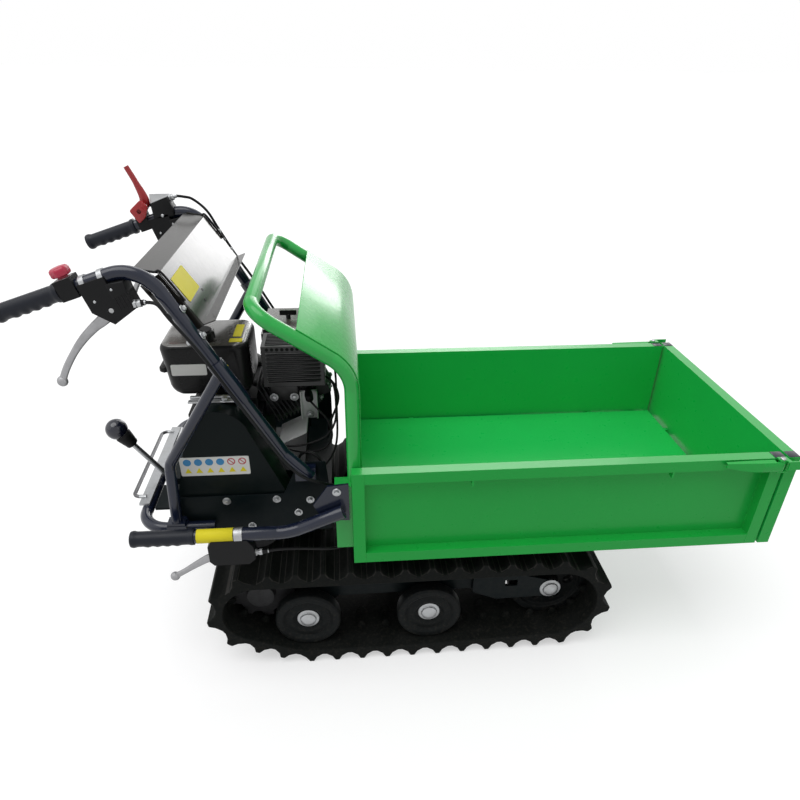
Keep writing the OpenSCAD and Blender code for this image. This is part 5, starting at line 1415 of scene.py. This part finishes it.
# place and inward direction at a distance along the loop
def onLoop(wheels, s):
    angles = leaveAngles(wheels)
    count = len(wheels)
    for i in range(2 * count):
        k = i % count
        (x, z), r = wheels[k]
        start = angles[k - 1]
        turn = (angles[k] - start) % (2 * math.pi)
        if s < r * turn:
            a = start + s / r
            return (x + r * math.cos(a), z + r * math.sin(a)), (-math.cos(a), -math.sin(a))
        s -= r * turn
        (x2, z2), r2 = wheels[(k + 1) % count]
        run = math.sqrt((x2 - x) ** 2 + (z2 - z) ** 2 - (r - r2) ** 2)
        if s < run:
            a = angles[k]
            return ((x + r * math.cos(a) - s * math.sin(a), z + r * math.sin(a) + s * math.cos(a)),
                    (-math.cos(a), -math.sin(a)))
        s -= run


def makeHorns(s):
    half, deep, low = s["hornHalf"], s["hornFoot"], s["band"] / 2 - 1
    sizes = [(half, deep), (half * 0.8, deep * 0.62), (half * 0.5, deep * 0.3)]
    for side, name in sideNames.items():
        bm = bmesh.new()
        for k in range(s["links"]):
            (x, z), (ix, iz) = onLoop(s["wheels"], (k + 0.5) * s["pitch"])
            for lane in (-1, 1):
                y = side * trackOut + lane * s["hornAt"]
                foot, tip = (place(x + ix * d, y, z + iz * d) for d in (low, low + s["hornTall"]))
                addSwept(bm, [foot, foot.lerp(tip, 0.7), tip], sizes, 8)
        newPiece("trackHorns_" + name, bm, "trackRubber")


makeHorns(trackSet)
print("track horns made")


# Bed: dark caps on the rims' ends, weld beads in the frames' corners, latch pins

bedSet = {"length": 920, "sideEnd": 889, "rim": 25, "wallY": 305, "low": 319, "top": 543, "cap": 0.9,
          "pin": [(0, 0), (5.5, 0), (5.5, 1.6), (4, 3), (0, 3)], "pinAt": (875, 313, 546)}
weldSet = {"r": 1.3, "between": 0.72, "ripples": 10}


# a bead of small overlapping ripples between two points
def addWeld(bm, a, b, s):
    a, b = place(*a), place(*b)
    count = 2 * s["ripples"]
    path = [a.lerp(b, i / count) for i in range(count + 1)]
    addSwept(bm, path, [(s["r"] * (1.0 if i % 2 else s["between"]),) * 2 for i in range(count + 1)], 8)


def makeBedTrim(s):
    low, top, rim = s["low"], s["top"], s["rim"]
    for side, name in sideNames.items():
        y0, y1 = sorted((side * (s["wallY"] - rim + 1), side * (s["wallY"] - 1)))
        panel = "side_" + name
        for piece, end, body in (("rimCap_", s["sideEnd"], panel), ("gateCap_", s["length"], "gate")):
            corners = (end - 24, y0, top - 0.2), (end - 1, y1, top + s["cap"])
            boxPiece(piece + name, "knobGloss", [corners], body, edge=0.3)
        bm = bmesh.new()
        inset = side * (s["wallY"] - 0.4)
        for x in (rim - 0.5, s["sideEnd"] - rim + 0.5):
            for z0, z1 in ((low + 1, low + rim), (top - rim, top - 1)):
                addWeld(bm, (x, inset, z0), (x, inset, z1), weldSet)
        newPiece("sideWelds_" + name, bm, "bedGreen", panel)
        x, y, z = s["pinAt"]
        turnedPiece("latchPin_" + name, "zincSteel", s["pin"], (x, side * y, z), (0, 0, 1), 24, panel)


makeBedTrim(bedSet)
print("bed trim made")
